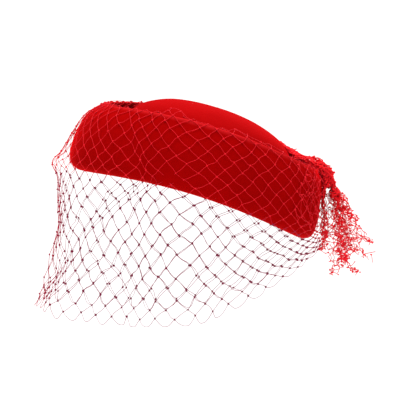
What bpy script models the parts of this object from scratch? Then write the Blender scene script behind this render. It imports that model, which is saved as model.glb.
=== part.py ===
"""Pillbox hat with an upturned cuff and a net veil, in the pose in which it is worn.

Lengths in the tables are in millimetres and become metres where a mesh is made. The front of the
hat points along -Y, the wearer's left along +X and up along +Z. The origin is the middle of the
head opening. Heights in the hat's own frame stand square to the head opening, and the whole hat
is then tipped back by WORN_TILT_DEG. The veil below the cuff and the tails hang along world Z.
"""

import math

import bmesh
import bpy
from mathutils import Matrix, Vector

MM = 0.001

WORN_TILT_DEG = 16.5
TURNS = 48

# The cuff's widest reach from the middle, to the front and to the sides, and the veil's longest
# fall below the head opening. The tables give their places as shares of these.
HALF_LENGTH = 96.0
HALF_WIDTH = 82.5
VEIL_FALL = 90.5

# The cuff: its height from the bottom edge to the rim, how far that edge lies below the head
# opening's plane at the front and the back, and how much both edges rise at the sides.
CUFF_HEIGHT = 51.5
CUFF_EDGE_FRONT = -3.0
CUFF_EDGE_BACK = -5.0
SIDE_ARCH = 11.0
CUFF_WALL = 3.0
CUFF_RIM_ROUND = 0.8
CUFF_LIP_FROM = 4.5
CUFF_LIP_TO = 13.0
CUFF_LIP_WALL = 2.4
CUFF_LIP_TURN = 1.0
CUFF_LIP_ROOM = 0.4
CUFF_INNER_FROM = 0.05
RIM_CROWNING = 0.6

# level: share of the cuff's height; front, back, side: share of the outer face's widest reach.
CUFF_SECTIONS = (
    {"level": 0.00, "front": 0.906, "back": 0.915, "side": 0.909},
    {"level": 0.03, "front": 0.948, "back": 0.956, "side": 0.953},
    {"level": 0.10, "front": 0.981, "back": 0.981, "side": 0.987},
    {"level": 0.22, "front": 0.998, "back": 0.989, "side": 1.000},
    {"level": 0.38, "front": 1.000, "back": 0.982, "side": 0.996},
    {"level": 0.54, "front": 0.992, "back": 0.970, "side": 0.982},
    {"level": 0.68, "front": 0.975, "back": 0.957, "side": 0.960},
    {"level": 0.81, "front": 0.946, "back": 0.941, "side": 0.931},
    {"level": 0.91, "front": 0.902, "back": 0.915, "side": 0.897},
    {"level": 1.00, "front": 0.856, "back": 0.881, "side": 0.868},
)

# The crown: one row for each height of its outer face in the hat's own frame, a share of the
# top's, with its reach as shares of the cuff's. arch is the share of SIDE_ARCH that the row takes
# at the sides.
CROWN_WALL = 2.6
CROWN_TOP = 70.0
CROWN_SECTIONS = (
    {"height": 0.990, "front": 0.177, "back": 0.156, "side": 0.170, "arch": 0.00},
    {"height": 0.954, "front": 0.344, "back": 0.318, "side": 0.327, "arch": 0.04},
    {"height": 0.891, "front": 0.469, "back": 0.464, "side": 0.455, "arch": 0.12},
    {"height": 0.809, "front": 0.568, "back": 0.578, "side": 0.552, "arch": 0.25},
    {"height": 0.693, "front": 0.641, "back": 0.656, "side": 0.630, "arch": 0.45},
    {"height": 0.486, "front": 0.719, "back": 0.734, "side": 0.709, "arch": 0.70},
    {"height": 0.229, "front": 0.797, "back": 0.807, "side": 0.785, "arch": 0.90},
    {"height": 0.000, "front": 0.854, "back": 0.862, "side": 0.844, "arch": 1.00},
)

# The veil: a net of diamonds, coarser here than the real one. Shares are how far down the net a
# place is: where it leaves the cuff's edge, where it starts to stand off, where its strands bend.
VEIL_COLUMNS = 15
VEIL_HALF_ROWS = 9
VEIL_STRAND = 2.0
VEIL_THICK = 1.0
VEIL_EDGE_SHARE = 0.415
VEIL_LOOSE_FROM = 0.12
VEIL_BENDS_BELOW = (0.50, 0.61, 0.72, 0.83, 0.93)
VEIL_HEM_PULL = 0.85
VEIL_FILLED_BELOW = 0.45

# share: how far down the net; level: share of the cuff's height; out: from the cuff's outer face.
VEIL_ON_CUFF = (
    {"share": 0.000, "level": 0.880, "out": -4.9},
    {"share": 0.045, "level": 0.995, "out": -4.7},
    {"share": 0.064, "level": 1.048, "out": -2.6},
    {"share": 0.084, "level": 1.042, "out": 0.2},
    {"share": 0.105, "level": 0.985, "out": 1.7},
    {"share": 0.140, "level": 0.900, "out": 1.7},
    {"share": 0.250, "level": 0.620, "out": 1.9},
    {"share": 0.415, "level": 0.180, "out": 2.8},
)

# Where each line of the veil goes below the cuff. station: share of the way from the front to the
# end at the back; azimuth: degrees round the hat; across, along, height: the hem's place, as
# shares of the half width, the half length and the fall;
# flare: how strongly the line turns outwards at the hem; proud: stand-off at the cuff's edge.
VEIL_SECTIONS = (
    {"station": 0.00, "azimuth": 0.0, "across": 0.000, "along": -1.250, "height": -0.912,
     "flare": 76.0, "proud": 3.5},
    {"station": 0.14, "azimuth": 24.0, "across": 0.521, "along": -1.094, "height": -0.950,
     "flare": 44.0, "proud": 2.5},
    {"station": 0.28, "azimuth": 48.0, "across": 0.836, "along": -0.750, "height": -0.972,
     "flare": 18.0, "proud": 1.0},
    {"station": 0.42, "azimuth": 72.0, "across": 1.006, "along": -0.354, "height": -1.000,
     "flare": 10.0, "proud": 0.0},
    {"station": 0.56, "azimuth": 97.0, "across": 1.042, "along": 0.062, "height": -0.972,
     "flare": 8.0, "proud": 0.0},
    {"station": 0.70, "azimuth": 121.0, "across": 0.933, "along": 0.438, "height": -0.801,
     "flare": 6.0, "proud": 0.0},
    {"station": 0.85, "azimuth": 146.0, "across": 0.606, "along": 0.781, "height": -0.586,
     "flare": 3.0, "proud": 0.0},
    {"station": 1.00, "azimuth": 171.0, "across": 0.194, "along": 1.000, "height": -0.387,
     "flare": 0.0, "proud": 0.0},
)

# Folds and points of the net: from and to are (station, share) pairs on each side, depth is how
# far the net sinks along the line, or stands out where it is negative.
VEIL_FOLDS = (
    {"name": "diagonal", "from": (0.46, 0.43), "to": (0.08, 0.85), "depth": 4.5, "width": 0.035},
    {"name": "low", "from": (0.27, 0.80), "to": (0.44, 0.90), "depth": 3.0, "width": 0.030},
    {"name": "nose_point", "from": (0.0, 0.83), "to": (0.03, 0.84), "depth": -6.0, "width": 0.055},
    {"name": "front_puff", "from": (0.0, 0.475), "to": (0.05, 0.475), "depth": -5.0, "width": 0.040},
)

# The roll of bunched net, in world axes: behind and above place the middle of the roll from the
# back of the cuff's rim, thick and wide are its half sizes.
GATHER_LOBES = 5
GATHER_LOBE_DEPTH = 0.10
GATHER_SIDES = 20
GATHER_PATH = (
    {"behind": -19.7, "above": 14.8, "thick": 2.0, "wide": 5.0},
    {"behind": -14.5, "above": 11.0, "thick": 3.0, "wide": 7.0},
    {"behind": -7.3, "above": 7.0, "thick": 3.4, "wide": 8.2},
    {"behind": 0.3, "above": 4.7, "thick": 3.4, "wide": 8.6},
    {"behind": 6.1, "above": 0.8, "thick": 3.5, "wide": 8.6},
    {"behind": 7.9, "above": -5.2, "thick": 3.9, "wide": 8.4},
    {"behind": 8.4, "above": -12.6, "thick": 4.8, "wide": 8.6},
)

# The tails, in world axes: behind and below place a head from the lower end of the roll. Each row
# of the locks gives the tip from the head's middle, the sideways bend of the lock's middle, and
# its half thickness at the top, middle and tip.
LOCK_SIDES = 6
LOCK_STEPS = 6
LOCK_STEP = 0.05
LOCK_STEEPNESS = 1.6
LOCK_ROOT_ACROSS = 0.32
LOCK_ROOT_BEHIND = 0.07
LOCK_ROOT_ABOVE = 0.3
HEAD_TURNS = 12
HEAD_RINGS = 7
MAIN_TAIL_HEAD = {"across": 0.0, "behind": 2.6, "below": 5.1, "round": (8.2, 4.2, 4.3)}
MAIN_TAIL_LOCKS = (
    {"name": "inner_long", "tip": (2.0, 0.2, -60.9), "bend": (1.0, 1.0), "round": (3.4, 4.2, 1.8)},
    {"name": "outer_long", "tip": (4.0, 15.7, -58.9), "bend": (2.0, -1.5), "round": (3.6, 4.8, 1.8)},
    {"name": "middle", "tip": (-4.0, 7.7, -51.9), "bend": (-2.0, 0.0), "round": (3.6, 4.8, 2.0)},
    {"name": "outer_mid", "tip": (-3.0, 24.2, -45.9), "bend": (-1.0, -3.0), "round": (3.2, 4.2, 1.7)},
    {"name": "outer_flick", "tip": (3.0, 28.7, -34.4), "bend": (2.0, -2.0), "round": (3.0, 3.2, 1.3)},
    {"name": "upper_flick", "tip": (-4.0, 17.7, -16.9), "bend": (-1.0, 1.0), "round": (2.8, 2.6, 1.1)},
    {"name": "side_left", "tip": (14.0, 5.7, -47.9), "bend": (3.0, 1.5), "round": (3.0, 3.8, 1.6)},
    {"name": "side_right", "tip": (-14.0, 5.7, -49.9), "bend": (-3.0, 1.5), "round": (3.0, 3.8, 1.6)},
)
SMALL_TAIL_HEAD = {"across": 0.0, "behind": -3.5, "below": 3.8, "round": (6.5, 1.6, 3.0)}
SMALL_TAIL_LOCKS = (
    {"name": "long", "tip": (1.0, -0.7, -43.2), "bend": (1.0, 0.0), "round": (1.5, 2.1, 1.0)},
    {"name": "short", "tip": (6.0, -0.2, -34.2), "bend": (2.0, 0.5), "round": (1.5, 2.0, 1.0)},
    {"name": "far", "tip": (-6.0, -1.2, -37.2), "bend": (-2.0, 0.5), "round": (1.5, 2.0, 1.0)},
)

COLOURS = {
    "crown": (0.60, 0.010, 0.012),
    "cuff": (0.40, 0.005, 0.006),
    "veil": (0.42, 0.020, 0.050),
    "veil_gather": (0.55, 0.014, 0.025),
    "veil_tail_main": (0.60, 0.014, 0.025),
    "veil_tail_small": (0.60, 0.014, 0.025),
}
VELVET_ROUGHNESS = 0.85
NET_ROUGHNESS = 0.7


def clear_scene():
    """Remove whatever the scene holds."""
    for item in list(bpy.data.objects):
        bpy.data.objects.remove(item, do_unlink=True)


def velvet(name, roughness):
    """A plain material in the piece's colour."""
    material = bpy.data.materials.new(name)
    material.use_nodes = True
    shader = material.node_tree.nodes["Principled BSDF"]
    shader.inputs["Base Color"].default_value = (*COLOURS[name], 1.0)
    shader.inputs["Roughness"].default_value = roughness
    shader.inputs["Metallic"].default_value = 0.0
    return material


def finished(name, mesh, roughness):
    """An object of the mesh with smooth faces and its own material."""
    part = bpy.data.objects.new(name, mesh)
    bpy.context.scene.collection.objects.link(part)
    mesh.materials.clear()
    mesh.materials.append(velvet(name, roughness))
    for face in mesh.polygons:
        face.use_smooth = True
        face.material_index = 0
    return part


def worn():
    """The turn from the hat's own frame to the world: the front lifted."""
    return Matrix.Rotation(math.radians(-WORN_TILT_DEG), 3, "X")


def reading(rows, key, column, at):
    """The column's value at a key, on a smooth curve through the table's rows."""
    if at <= rows[0][key]:
        return rows[0][column]
    if at >= rows[-1][key]:
        return rows[-1][column]
    after = next(i for i, row in enumerate(rows) if row[key] >= at)
    before = after - 1
    start, end = rows[before], rows[after]
    span = end[key] - start[key]
    share = (at - start[key]) / span
    slopes = [slope_at(rows, key, column, i) * span for i in (before, after)]
    square = share * share
    cube = square * share
    return (
        (2 * cube - 3 * square + 1) * start[column]
        + (cube - 2 * square + share) * slopes[0]
        + (3 * square - 2 * cube) * end[column]
        + (cube - square) * slopes[1]
    )


def slope_at(rows, key, column, index):
    """The curve's slope at one row, from its neighbours."""
    low = max(index - 1, 0)
    high = min(index + 1, len(rows) - 1)
    return (rows[high][column] - rows[low][column]) / (rows[high][key] - rows[low][key])


def oval(front, back, side, azimuth, out):
    """A point of an oval plan from its shares. Azimuth 0 is the front, pi / 2 the wearer's left."""
    forward = math.cos(azimuth)
    reach = (front if forward > 0 else back) * HALF_LENGTH + out
    return (side * HALF_WIDTH + out) * math.sin(azimuth), -reach * forward


def edge_height(azimuth):
    """The height of the cuff's bottom edge in the hat's own frame."""
    backward = (1 - math.cos(azimuth)) / 2
    level = CUFF_EDGE_FRONT + (CUFF_EDGE_BACK - CUFF_EDGE_FRONT) * backward
    return level + SIDE_ARCH * math.sin(azimuth) ** 2


def cuff_point(level, azimuth, out):
    """A point at a level of the cuff, moved outwards from its outer face, in the hat's frame."""
    inside = min(max(level, 0.0), 1.0)
    front, back, side = (reading(CUFF_SECTIONS, "level", c, inside) for c in ("front", "back", "side"))
    x, y = oval(front, back, side, azimuth, out)
    return Vector((x, y, edge_height(azimuth) + level * CUFF_HEIGHT))


def crown_row_point(row, azimuth, out, up):
    """A point of one of the crown's rows, in the hat's frame."""
    x, y = oval(row["front"], row["back"], row["side"], azimuth, out)
    rise = row["arch"] * SIDE_ARCH * math.sin(azimuth) ** 2
    return Vector((x, y, row["height"] * CROWN_TOP + rise + up))


def crown_reach_at(height):
    """The crown's front, back and side shares at a height above the head opening."""
    rows = tuple(reversed(CROWN_SECTIONS))
    share = height / CROWN_TOP
    return [reading(rows, "height", column, share) for column in ("front", "back", "side")]


def ring_mesh(rings, closed_loop):
    """A mesh from rings of points, each joined to the next one, and in a loop the last to the first."""
    shape = bmesh.new()
    placed = [[shape.verts.new(worn() @ point * MM) for point in ring] for ring in rings]
    pairs = list(zip(placed, placed[1:]))
    if closed_loop:
        pairs.append((placed[-1], placed[0]))
    for lower, upper in pairs:
        for i in range(len(lower)):
            j = (i + 1) % len(lower)
            shape.faces.new((lower[i], lower[j], upper[j], upper[i]))
    return shape, placed


def mesh_from(shape, name):
    """The bmesh as a mesh with its faces outwards."""
    bmesh.ops.recalc_face_normals(shape, faces=shape.faces)
    mesh = bpy.data.meshes.new(name)
    shape.to_mesh(mesh)
    shape.free()
    return mesh


def azimuths():
    """The angles of one turn round the hat."""
    return [math.tau * i / TURNS for i in range(TURNS)]


def cuff_outline():
    """The (level, out) pairs of the cuff's outer face from the rim down and its inner face up."""
    outer = [(row["level"], 0.0) for row in reversed(CUFF_SECTIONS)]
    inner = [(row["level"], -CUFF_WALL) for row in CUFF_SECTIONS if row["level"] > CUFF_INNER_FROM]
    return outer, inner


def cuff_ring(level, out):
    """One ring of the cuff's outer or inner face."""
    return [cuff_point(level, azimuth, out) for azimuth in azimuths()]


def lip_ring(height, out):
    """One ring of the lip, which follows the crown's wall outside it."""
    front, back, side = crown_reach_at(height - CUFF_LIP_FROM)
    ring = []
    for azimuth in azimuths():
        x, y = oval(front, back, side, azimuth, out)
        ring.append(Vector((x, y, edge_height(azimuth) + height)))
    return ring


def make_cuff():
    """The cuff: outer face down, round the bottom edge, up the lip, and back inside the wall."""
    outer, inner = cuff_outline()
    rim_out = CUFF_RIM_ROUND
    rim_level = 1 + RIM_CROWNING / CUFF_HEIGHT
    rings = [cuff_ring(rim_level, -rim_out)]
    rings += [cuff_ring(level, out) for level, out in outer]
    lip_clear = CUFF_LIP_ROOM
    rings.append(lip_ring(CUFF_LIP_TURN / 2, lip_clear + CUFF_LIP_TURN))
    rings.append(lip_ring(CUFF_LIP_FROM, lip_clear))
    rings.append(lip_ring(CUFF_LIP_TO, lip_clear))
    rings.append(lip_ring(CUFF_LIP_TO + CUFF_LIP_WALL / 3, lip_clear + CUFF_LIP_WALL / 2))
    rings.append(lip_ring(CUFF_LIP_TO, lip_clear + CUFF_LIP_WALL))
    rings.append(lip_ring(CUFF_LIP_FROM, lip_clear + CUFF_LIP_WALL))
    rings += [cuff_ring(level, out) for level, out in inner]
    rings.append(cuff_ring(rim_level, -CUFF_WALL + rim_out))
    shape, _ = ring_mesh(rings, True)
    return finished("cuff", mesh_from(shape, "cuff"), VELVET_ROUGHNESS)


def make_crown():
    """The crown: a dome with its wall down to the head opening, hollow and open below."""
    rows = CROWN_SECTIONS
    outer = [[crown_row_point(r, a, 0.0, base_rise(r, a)) for a in azimuths()] for r in rows]
    inner = [[inner_crown_point(i, a) for a in azimuths()] for i in range(len(rows))]
    rings = outer + list(reversed(inner))
    shape, placed = ring_mesh(rings, False)
    top = shape.verts.new(worn() @ Vector((0, 0, CROWN_TOP)) * MM)
    under = shape.verts.new(worn() @ Vector((0, 0, CROWN_TOP - CROWN_WALL)) * MM)
    for ring, tip in ((placed[0], top), (placed[-1], under)):
        for i in range(TURNS):
            shape.faces.new((ring[i], ring[(i + 1) % TURNS], tip))
    return finished("crown", mesh_from(shape, "crown"), VELVET_ROUGHNESS)


def base_rise(row, azimuth):
    """How much the crown's lower rows follow the cuff's bottom edge from front to back."""
    share = row["arch"]
    level = edge_height(azimuth) - SIDE_ARCH * math.sin(azimuth) ** 2
    return share * (level + CUFF_LIP_FROM)


def inner_crown_point(index, azimuth):
    """The point of the crown's inner face under one of its rows, square to the wall."""
    rows = CROWN_SECTIONS
    low = rows[max(index - 1, 0)]
    high = rows[min(index + 1, len(rows) - 1)]
    run = (high["side"] - low["side"]) * HALF_WIDTH
    fall = (low["height"] - high["height"]) * CROWN_TOP
    length = math.hypot(run, fall)
    inwards, down = CROWN_WALL * fall / length, CROWN_WALL * run / length
    row = rows[index]
    if index == len(rows) - 1:
        down = 0.0
    return crown_row_point(row, azimuth, -inwards, base_rise(row, azimuth) - down)


def veil_on_cuff(station, share):
    """The veil's middle surface where it lies on the cuff, in world axes."""
    azimuth = math.copysign(
        math.radians(reading(VEIL_SECTIONS, "station", "azimuth", abs(station))), station
    )
    level = reading(VEIL_ON_CUFF, "share", "level", share)
    out = reading(VEIL_ON_CUFF, "share", "out", share)
    proud = reading(VEIL_SECTIONS, "station", "proud", abs(station))
    loose = (share - VEIL_LOOSE_FROM) / (VEIL_EDGE_SHARE - VEIL_LOOSE_FROM)
    loose = min(max(loose, 0.0), 1.0)
    return worn() @ cuff_point(level, azimuth, out + proud * loose * loose)


def veil_hem(station):
    """The hem's point and the direction in which the veil's line reaches it, in world axes."""
    side = math.copysign(1.0, station)
    across, along, height, flare, azimuth = (
        reading(VEIL_SECTIONS, "station", column, abs(station))
        for column in ("across", "along", "height", "flare", "azimuth")
    )
    turn = math.radians(azimuth)
    outwards = Vector((side * math.sin(turn), -math.cos(turn), 0)) * flare
    hem = Vector((side * across * HALF_WIDTH, along * HALF_LENGTH, height * VEIL_FALL))
    return hem, outwards


def veil_surface(station, share):
    """The veil's middle surface without its folds, in world axes."""
    if share <= VEIL_EDGE_SHARE:
        return veil_on_cuff(station, share)
    step = 0.004
    top = veil_on_cuff(station, VEIL_EDGE_SHARE)
    above = veil_on_cuff(station, VEIL_EDGE_SHARE - step)
    hem, outwards = veil_hem(station)
    length = 1 - VEIL_EDGE_SHARE
    t = (share - VEIL_EDGE_SHARE) / length
    leave = (top - above) / step * length
    leave = leave.normalized() * min(leave.length, (hem - top).length)
    arrive = (hem - top) * VEIL_HEM_PULL + outwards
    square, cube = t * t, t * t * t
    return (
        top * (2 * cube - 3 * square + 1)
        + leave * (cube - 2 * square + t)
        + hem * (3 * square - 2 * cube)
        + arrive * (cube - square)
    )


def fold_depth(station, share):
    """How far the net sinks at a place, summed over the folds."""
    place = Vector((abs(station), share))
    depth = 0.0
    for fold in VEIL_FOLDS:
        start, end = Vector(fold["from"]), Vector(fold["to"])
        line = end - start
        along = min(max((place - start).dot(line) / line.length_squared, 0.0), 1.0)
        away = (place - start - line * along).length / fold["width"]
        depth += fold["depth"] * math.exp(-away * away)
    return depth


def veil_frame(station, share):
    """A point of the veil with its folds, and the outward direction there."""
    step = 0.003
    here = veil_surface(station, share)
    beside = veil_surface(station + step, share) - veil_surface(station - step, share)
    below = veil_surface(station, min(share + step, 1.0)) - veil_surface(station, max(share - step, 0.0))
    outwards = below.cross(beside).normalized()
    return here - outwards * fold_depth(station, share), outwards


def lattice_place(column, half_row):
    """The station and share of one knot of the net."""
    return Vector((2.0 * column / VEIL_COLUMNS - 1.0, half_row / VEIL_HALF_ROWS, 0.0))


def open_share(corners, centre):
    """How much of a mesh is open, so that the strand round it keeps its width in the real net."""
    middle, _ = veil_frame(centre.x, centre.y)
    points = [veil_frame(corner.x, corner.y)[0] for corner in corners]
    across = (points[1] - points[3]).length
    down = (points[0] - points[2]).length
    if min(across, down) < 1e-6:
        return 0.0
    inside = across * down / (2 * math.hypot(across, down))
    return 1 - VEIL_STRAND / 2 / inside


def mesh_corners(centre_column, half_row):
    """The top, right, bottom and left knots of one mesh of the net."""
    return [
        lattice_place(centre_column, half_row - 1),
        lattice_place(centre_column + 0.5, half_row),
        lattice_place(centre_column, half_row + 1),
        lattice_place(centre_column - 0.5, half_row),
    ]


def add_strands(shape, corners, centre, keep):
    """The strand's inner half along each side of one mesh, or the whole mesh where it is shut."""
    share = open_share(corners, centre)
    inner = [centre + (corner - centre) * share for corner in corners]
    if share < VEIL_FILLED_BELOW:
        flat_face(shape, [corners[i] for i in keep_corners(keep)])
        return
    strand = shape.faces.layers.int["strand"]
    for i in keep:
        j = (i + 1) % 4
        flat_face(shape, (corners[i], corners[j], inner[j], inner[i]))[strand] = 1


def keep_corners(keep):
    """The corners that the kept sides of a mesh run through."""
    found = []
    for i in keep:
        for corner in (i, (i + 1) % 4):
            if corner not in found:
                found.append(corner)
    return sorted(found)


def flat_face(shape, places):
    """One face of the flat net."""
    return shape.faces.new([shape.verts.new(place) for place in places])


def flat_net():
    """The net laid out flat, station along X and share along Y."""
    shape = bmesh.new()
    shape.faces.layers.int.new("strand")
    last = VEIL_HALF_ROWS
    for half_row in range(0, last + 1):
        offset = 0.5 if half_row % 2 else 0.0
        centres = [c + offset for c in range(0, VEIL_COLUMNS + 1) if c + offset <= VEIL_COLUMNS]
        for centre_column in centres:
            corners = mesh_corners(centre_column, half_row)
            centre = lattice_place(centre_column, half_row)
            if centre_column in (0, VEIL_COLUMNS):
                add_end(shape, corners, centre_column == 0, half_row)
            else:
                sides = (1, 2) if half_row == 0 else (3, 0) if half_row == last else (0, 1, 2, 3)
                add_strands(shape, corners, centre, sides)
    return shape


def add_end(shape, corners, at_start, half_row):
    """The half mesh at an end of the net, which is bunched and so filled."""
    top, right, bottom, left = corners
    tip = right if at_start else left
    inside = [p for p in (top, bottom) if -1e-6 <= p.y <= 1 + 1e-6]
    if len(inside) == 2:
        flat_face(shape, (inside[0], tip, inside[1]))


def join_halves(shape):
    """Each strand made whole: its two halves lose the line between them."""
    strand = shape.faces.layers.int["strand"]
    middle = [
        edge
        for edge in shape.edges
        if len(edge.link_faces) == 2
        and all(face[strand] and len(face.verts) == 4 for face in edge.link_faces)
        and on_lattice(edge)
    ]
    bmesh.ops.dissolve_edges(shape, edges=middle, use_verts=False, use_face_split=False)


def on_lattice(edge):
    """Whether an edge runs from knot to knot."""
    start, end = (vert.co for vert in edge.verts)
    across = abs(start.x - end.x) * VEIL_COLUMNS / 2
    down = abs(start.y - end.y) * VEIL_HALF_ROWS
    return abs(across - 0.5) < 1e-4 and abs(down - 1) < 1e-4


def cut_lines():
    """The shares at which the strands get extra points, so that they bend with the surface."""
    return [row["share"] for row in VEIL_ON_CUFF[1:]] + list(VEIL_BENDS_BELOW)


def make_veil():
    """The veil: the flat net, cut where it bends, given two faces and laid on its surface."""
    flat = flat_net()
    bmesh.ops.remove_doubles(flat, verts=flat.verts, dist=1e-5)
    join_halves(flat)
    for share in cut_lines():
        everything = list(flat.verts) + list(flat.edges) + list(flat.faces)
        bmesh.ops.bisect_plane(
            flat, geom=everything, dist=1e-6, plane_co=(0, share, 0), plane_no=(0, 1, 0)
        )
    shape = bmesh.new()
    layers = {}
    for vert in flat.verts:
        point, outwards = veil_frame(vert.co.x, vert.co.y)
        half = outwards * VEIL_THICK / 2
        layers[vert.index] = [shape.verts.new((point + s * half) * MM) for s in (1, -1)]
    for face in flat.faces:
        loop = [vert.index for vert in face.verts]
        shape.faces.new([layers[i][0] for i in loop])
        shape.faces.new([layers[i][1] for i in reversed(loop)])
    for edge in flat.edges:
        if len(edge.link_faces) == 1:
            a, b = (layers[vert.index] for vert in edge.verts)
            shape.faces.new((a[0], b[0], b[1], a[1]))
    flat.free()
    return finished("veil", mesh_from(shape, "veil"), NET_ROUGHNESS)


def section_ring(shape, middle, direction, wide, thick, sides, lobes):
    """One ring round a path that runs in the plane across X, with soft lobes."""
    across = Vector((1, 0, 0))
    up = direction.cross(across).normalized()
    ring = []
    for i in range(sides):
        angle = math.tau * i / sides
        swell = 1 + lobes * math.cos(GATHER_LOBES * angle)
        offset = across * wide * math.cos(angle) + up * thick * math.sin(angle)
        ring.append(shape.verts.new((middle + offset * swell) * MM))
    return ring


def bridge(shape, rings):
    """Faces between rings in turn, with both ends closed."""
    for lower, upper in zip(rings, rings[1:]):
        for i in range(len(lower)):
            j = (i + 1) % len(lower)
            shape.faces.new((lower[i], lower[j], upper[j], upper[i]))
    shape.faces.new(list(reversed(rings[0])))
    shape.faces.new(rings[-1])


def gather_middles():
    """The middles of the roll's rings, placed from the back of the cuff's rim."""
    rim = worn() @ cuff_point(1.0, math.pi, 0.0)
    return [rim + Vector((0, row["behind"], row["above"])) for row in GATHER_PATH]


def make_gather():
    """The roll of bunched net that lies over the back of the rim."""
    shape = bmesh.new()
    middles = gather_middles()
    rings = []
    for i, row in enumerate(GATHER_PATH):
        before, after = middles[max(i - 1, 0)], middles[min(i + 1, len(middles) - 1)]
        direction = (after - before).normalized()
        rings.append(
            section_ring(
                shape, middles[i], direction, row["wide"], row["thick"], GATHER_SIDES, GATHER_LOBE_DEPTH
            )
        )
    bridge(shape, rings)
    return finished("veil_gather", mesh_from(shape, "veil_gather"), NET_ROUGHNESS)


def lock_mesh(root, head, lock):
    """One lock: a tapering tube from the tail's head to the lock's tip."""
    shape = bmesh.new()
    tip = head_middle(head) + Vector(lock["tip"])
    bend = Vector((lock["bend"][0], lock["bend"][1], 0))
    rings = []
    for i in range(LOCK_STEPS):
        t = i / (LOCK_STEPS - 1)
        middle = lock_point(root, tip, bend, t)
        ahead = lock_point(root, tip, bend, min(t + LOCK_STEP, 1.0))
        behind = lock_point(root, tip, bend, max(t - LOCK_STEP, 0))
        direction = (ahead - behind).normalized()
        rings.append(lock_ring(shape, middle, direction, lock_radius(lock, t)))
    bridge(shape, rings)
    return mesh_from(shape, lock["name"])


def lock_point(root, tip, bend, t):
    """A point on a lock's middle line, steep at first and then towards the tip."""
    fall = root + (tip - root) * t
    level = 1 - (1 - t) ** LOCK_STEEPNESS
    fall.z = root.z + (tip.z - root.z) * level
    return fall + bend * math.sin(math.pi * t)


def lock_radius(lock, t):
    """A lock's half thickness from its top to its tip."""
    top, middle, tip = lock["round"]
    if t < 0.5:
        return top + (middle - top) * t * 2
    return middle + (tip - middle) * (t - 0.5) * 2


def lock_ring(shape, middle, direction, radius):
    """One ring of a lock."""
    across = Vector((1, 0, 0)) - direction * direction.x
    across.normalize()
    up = direction.cross(across)
    ring = []
    for i in range(LOCK_SIDES):
        angle = math.tau * i / LOCK_SIDES
        offset = across * math.cos(angle) + up * math.sin(angle)
        ring.append(shape.verts.new((middle + offset * radius) * MM))
    return ring


def head_mesh(head, name):
    """A tail's head: a flattened ball."""
    shape = bmesh.new()
    bmesh.ops.create_uvsphere(shape, u_segments=HEAD_TURNS, v_segments=HEAD_RINGS, radius=1.0)
    size = Matrix.Diagonal(Vector(head["round"]) * MM).to_4x4()
    place = Matrix.Translation(head_middle(head) * MM)
    bmesh.ops.transform(shape, matrix=place @ size, verts=shape.verts)
    return mesh_from(shape, name)


def head_middle(head):
    """The middle of a tail's head, placed from the lower end of the roll."""
    return gather_middles()[-1] + Vector((head["across"], head["behind"], -head["below"]))


def fused(name, pieces):
    """The pieces joined by Boolean unions into one mesh."""
    body = bpy.data.objects.new(name, pieces[0])
    bpy.context.scene.collection.objects.link(body)
    for piece in pieces[1:]:
        tool = bpy.data.objects.new("tool", piece)
        bpy.context.scene.collection.objects.link(tool)
        union = body.modifiers.new("fuse", "BOOLEAN")
        union.operation = "UNION"
        union.solver = "EXACT"
        union.object = tool
        graph = bpy.context.evaluated_depsgraph_get()
        joined = bpy.data.meshes.new_from_object(body.evaluated_get(graph))
        body.modifiers.remove(union)
        body.data = joined
        bpy.data.objects.remove(tool, do_unlink=True)
    mesh = body.data
    bpy.data.objects.remove(body, do_unlink=True)
    return mesh


def make_tail(name, head, locks):
    """A tail: its locks fused to its head."""
    root = head_middle(head)
    pieces = [head_mesh(head, name)]
    for lock in locks:
        across, behind = lock["tip"][0] * LOCK_ROOT_ACROSS, lock["tip"][1] * LOCK_ROOT_BEHIND
        start = root + Vector((across, behind, LOCK_ROOT_ABOVE))
        pieces.append(lock_mesh(start, head, lock))
    return finished(name, fused(name, pieces), NET_ROUGHNESS)


def main():
    """Build every piece."""
    clear_scene()
    make_crown()
    make_cuff()
    make_veil()
    make_gather()
    make_tail("veil_tail_main", MAIN_TAIL_HEAD, MAIN_TAIL_LOCKS)
    make_tail("veil_tail_small", SMALL_TAIL_HEAD, SMALL_TAIL_LOCKS)


main()
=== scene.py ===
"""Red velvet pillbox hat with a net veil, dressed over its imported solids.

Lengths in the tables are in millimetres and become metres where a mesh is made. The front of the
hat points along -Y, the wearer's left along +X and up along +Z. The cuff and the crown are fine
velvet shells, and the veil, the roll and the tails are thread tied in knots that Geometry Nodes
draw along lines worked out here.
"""

import logging
import math
from collections.abc import Mapping, Sequence
from dataclasses import dataclass, replace
from enum import Enum
from typing import Any

import bmesh
import bpy
import numpy as np
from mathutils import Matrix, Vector


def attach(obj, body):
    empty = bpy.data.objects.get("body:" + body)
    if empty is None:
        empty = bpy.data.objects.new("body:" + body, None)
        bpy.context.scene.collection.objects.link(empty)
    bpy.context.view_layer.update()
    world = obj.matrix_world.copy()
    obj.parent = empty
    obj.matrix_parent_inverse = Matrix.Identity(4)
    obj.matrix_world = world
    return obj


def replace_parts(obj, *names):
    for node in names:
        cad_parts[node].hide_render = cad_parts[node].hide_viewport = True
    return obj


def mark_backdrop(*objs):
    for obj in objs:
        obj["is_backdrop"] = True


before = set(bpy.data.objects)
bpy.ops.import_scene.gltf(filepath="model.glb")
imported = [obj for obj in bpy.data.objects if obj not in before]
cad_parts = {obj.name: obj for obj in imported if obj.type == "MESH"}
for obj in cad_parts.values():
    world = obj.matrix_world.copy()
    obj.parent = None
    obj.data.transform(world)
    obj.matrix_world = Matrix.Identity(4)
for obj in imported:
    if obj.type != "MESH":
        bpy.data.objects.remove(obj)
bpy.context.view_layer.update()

LOG = logging.getLogger("pillbox_hat")
MM = 0.001
BODY = "root"

# How many waves a drift is made of, how much their lengths and their sum are brought down.
WAVES = 5
WAVE_SPREAD = 1.7
WAVE_SUM = 2.6


# Curves and the hat's form


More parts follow.
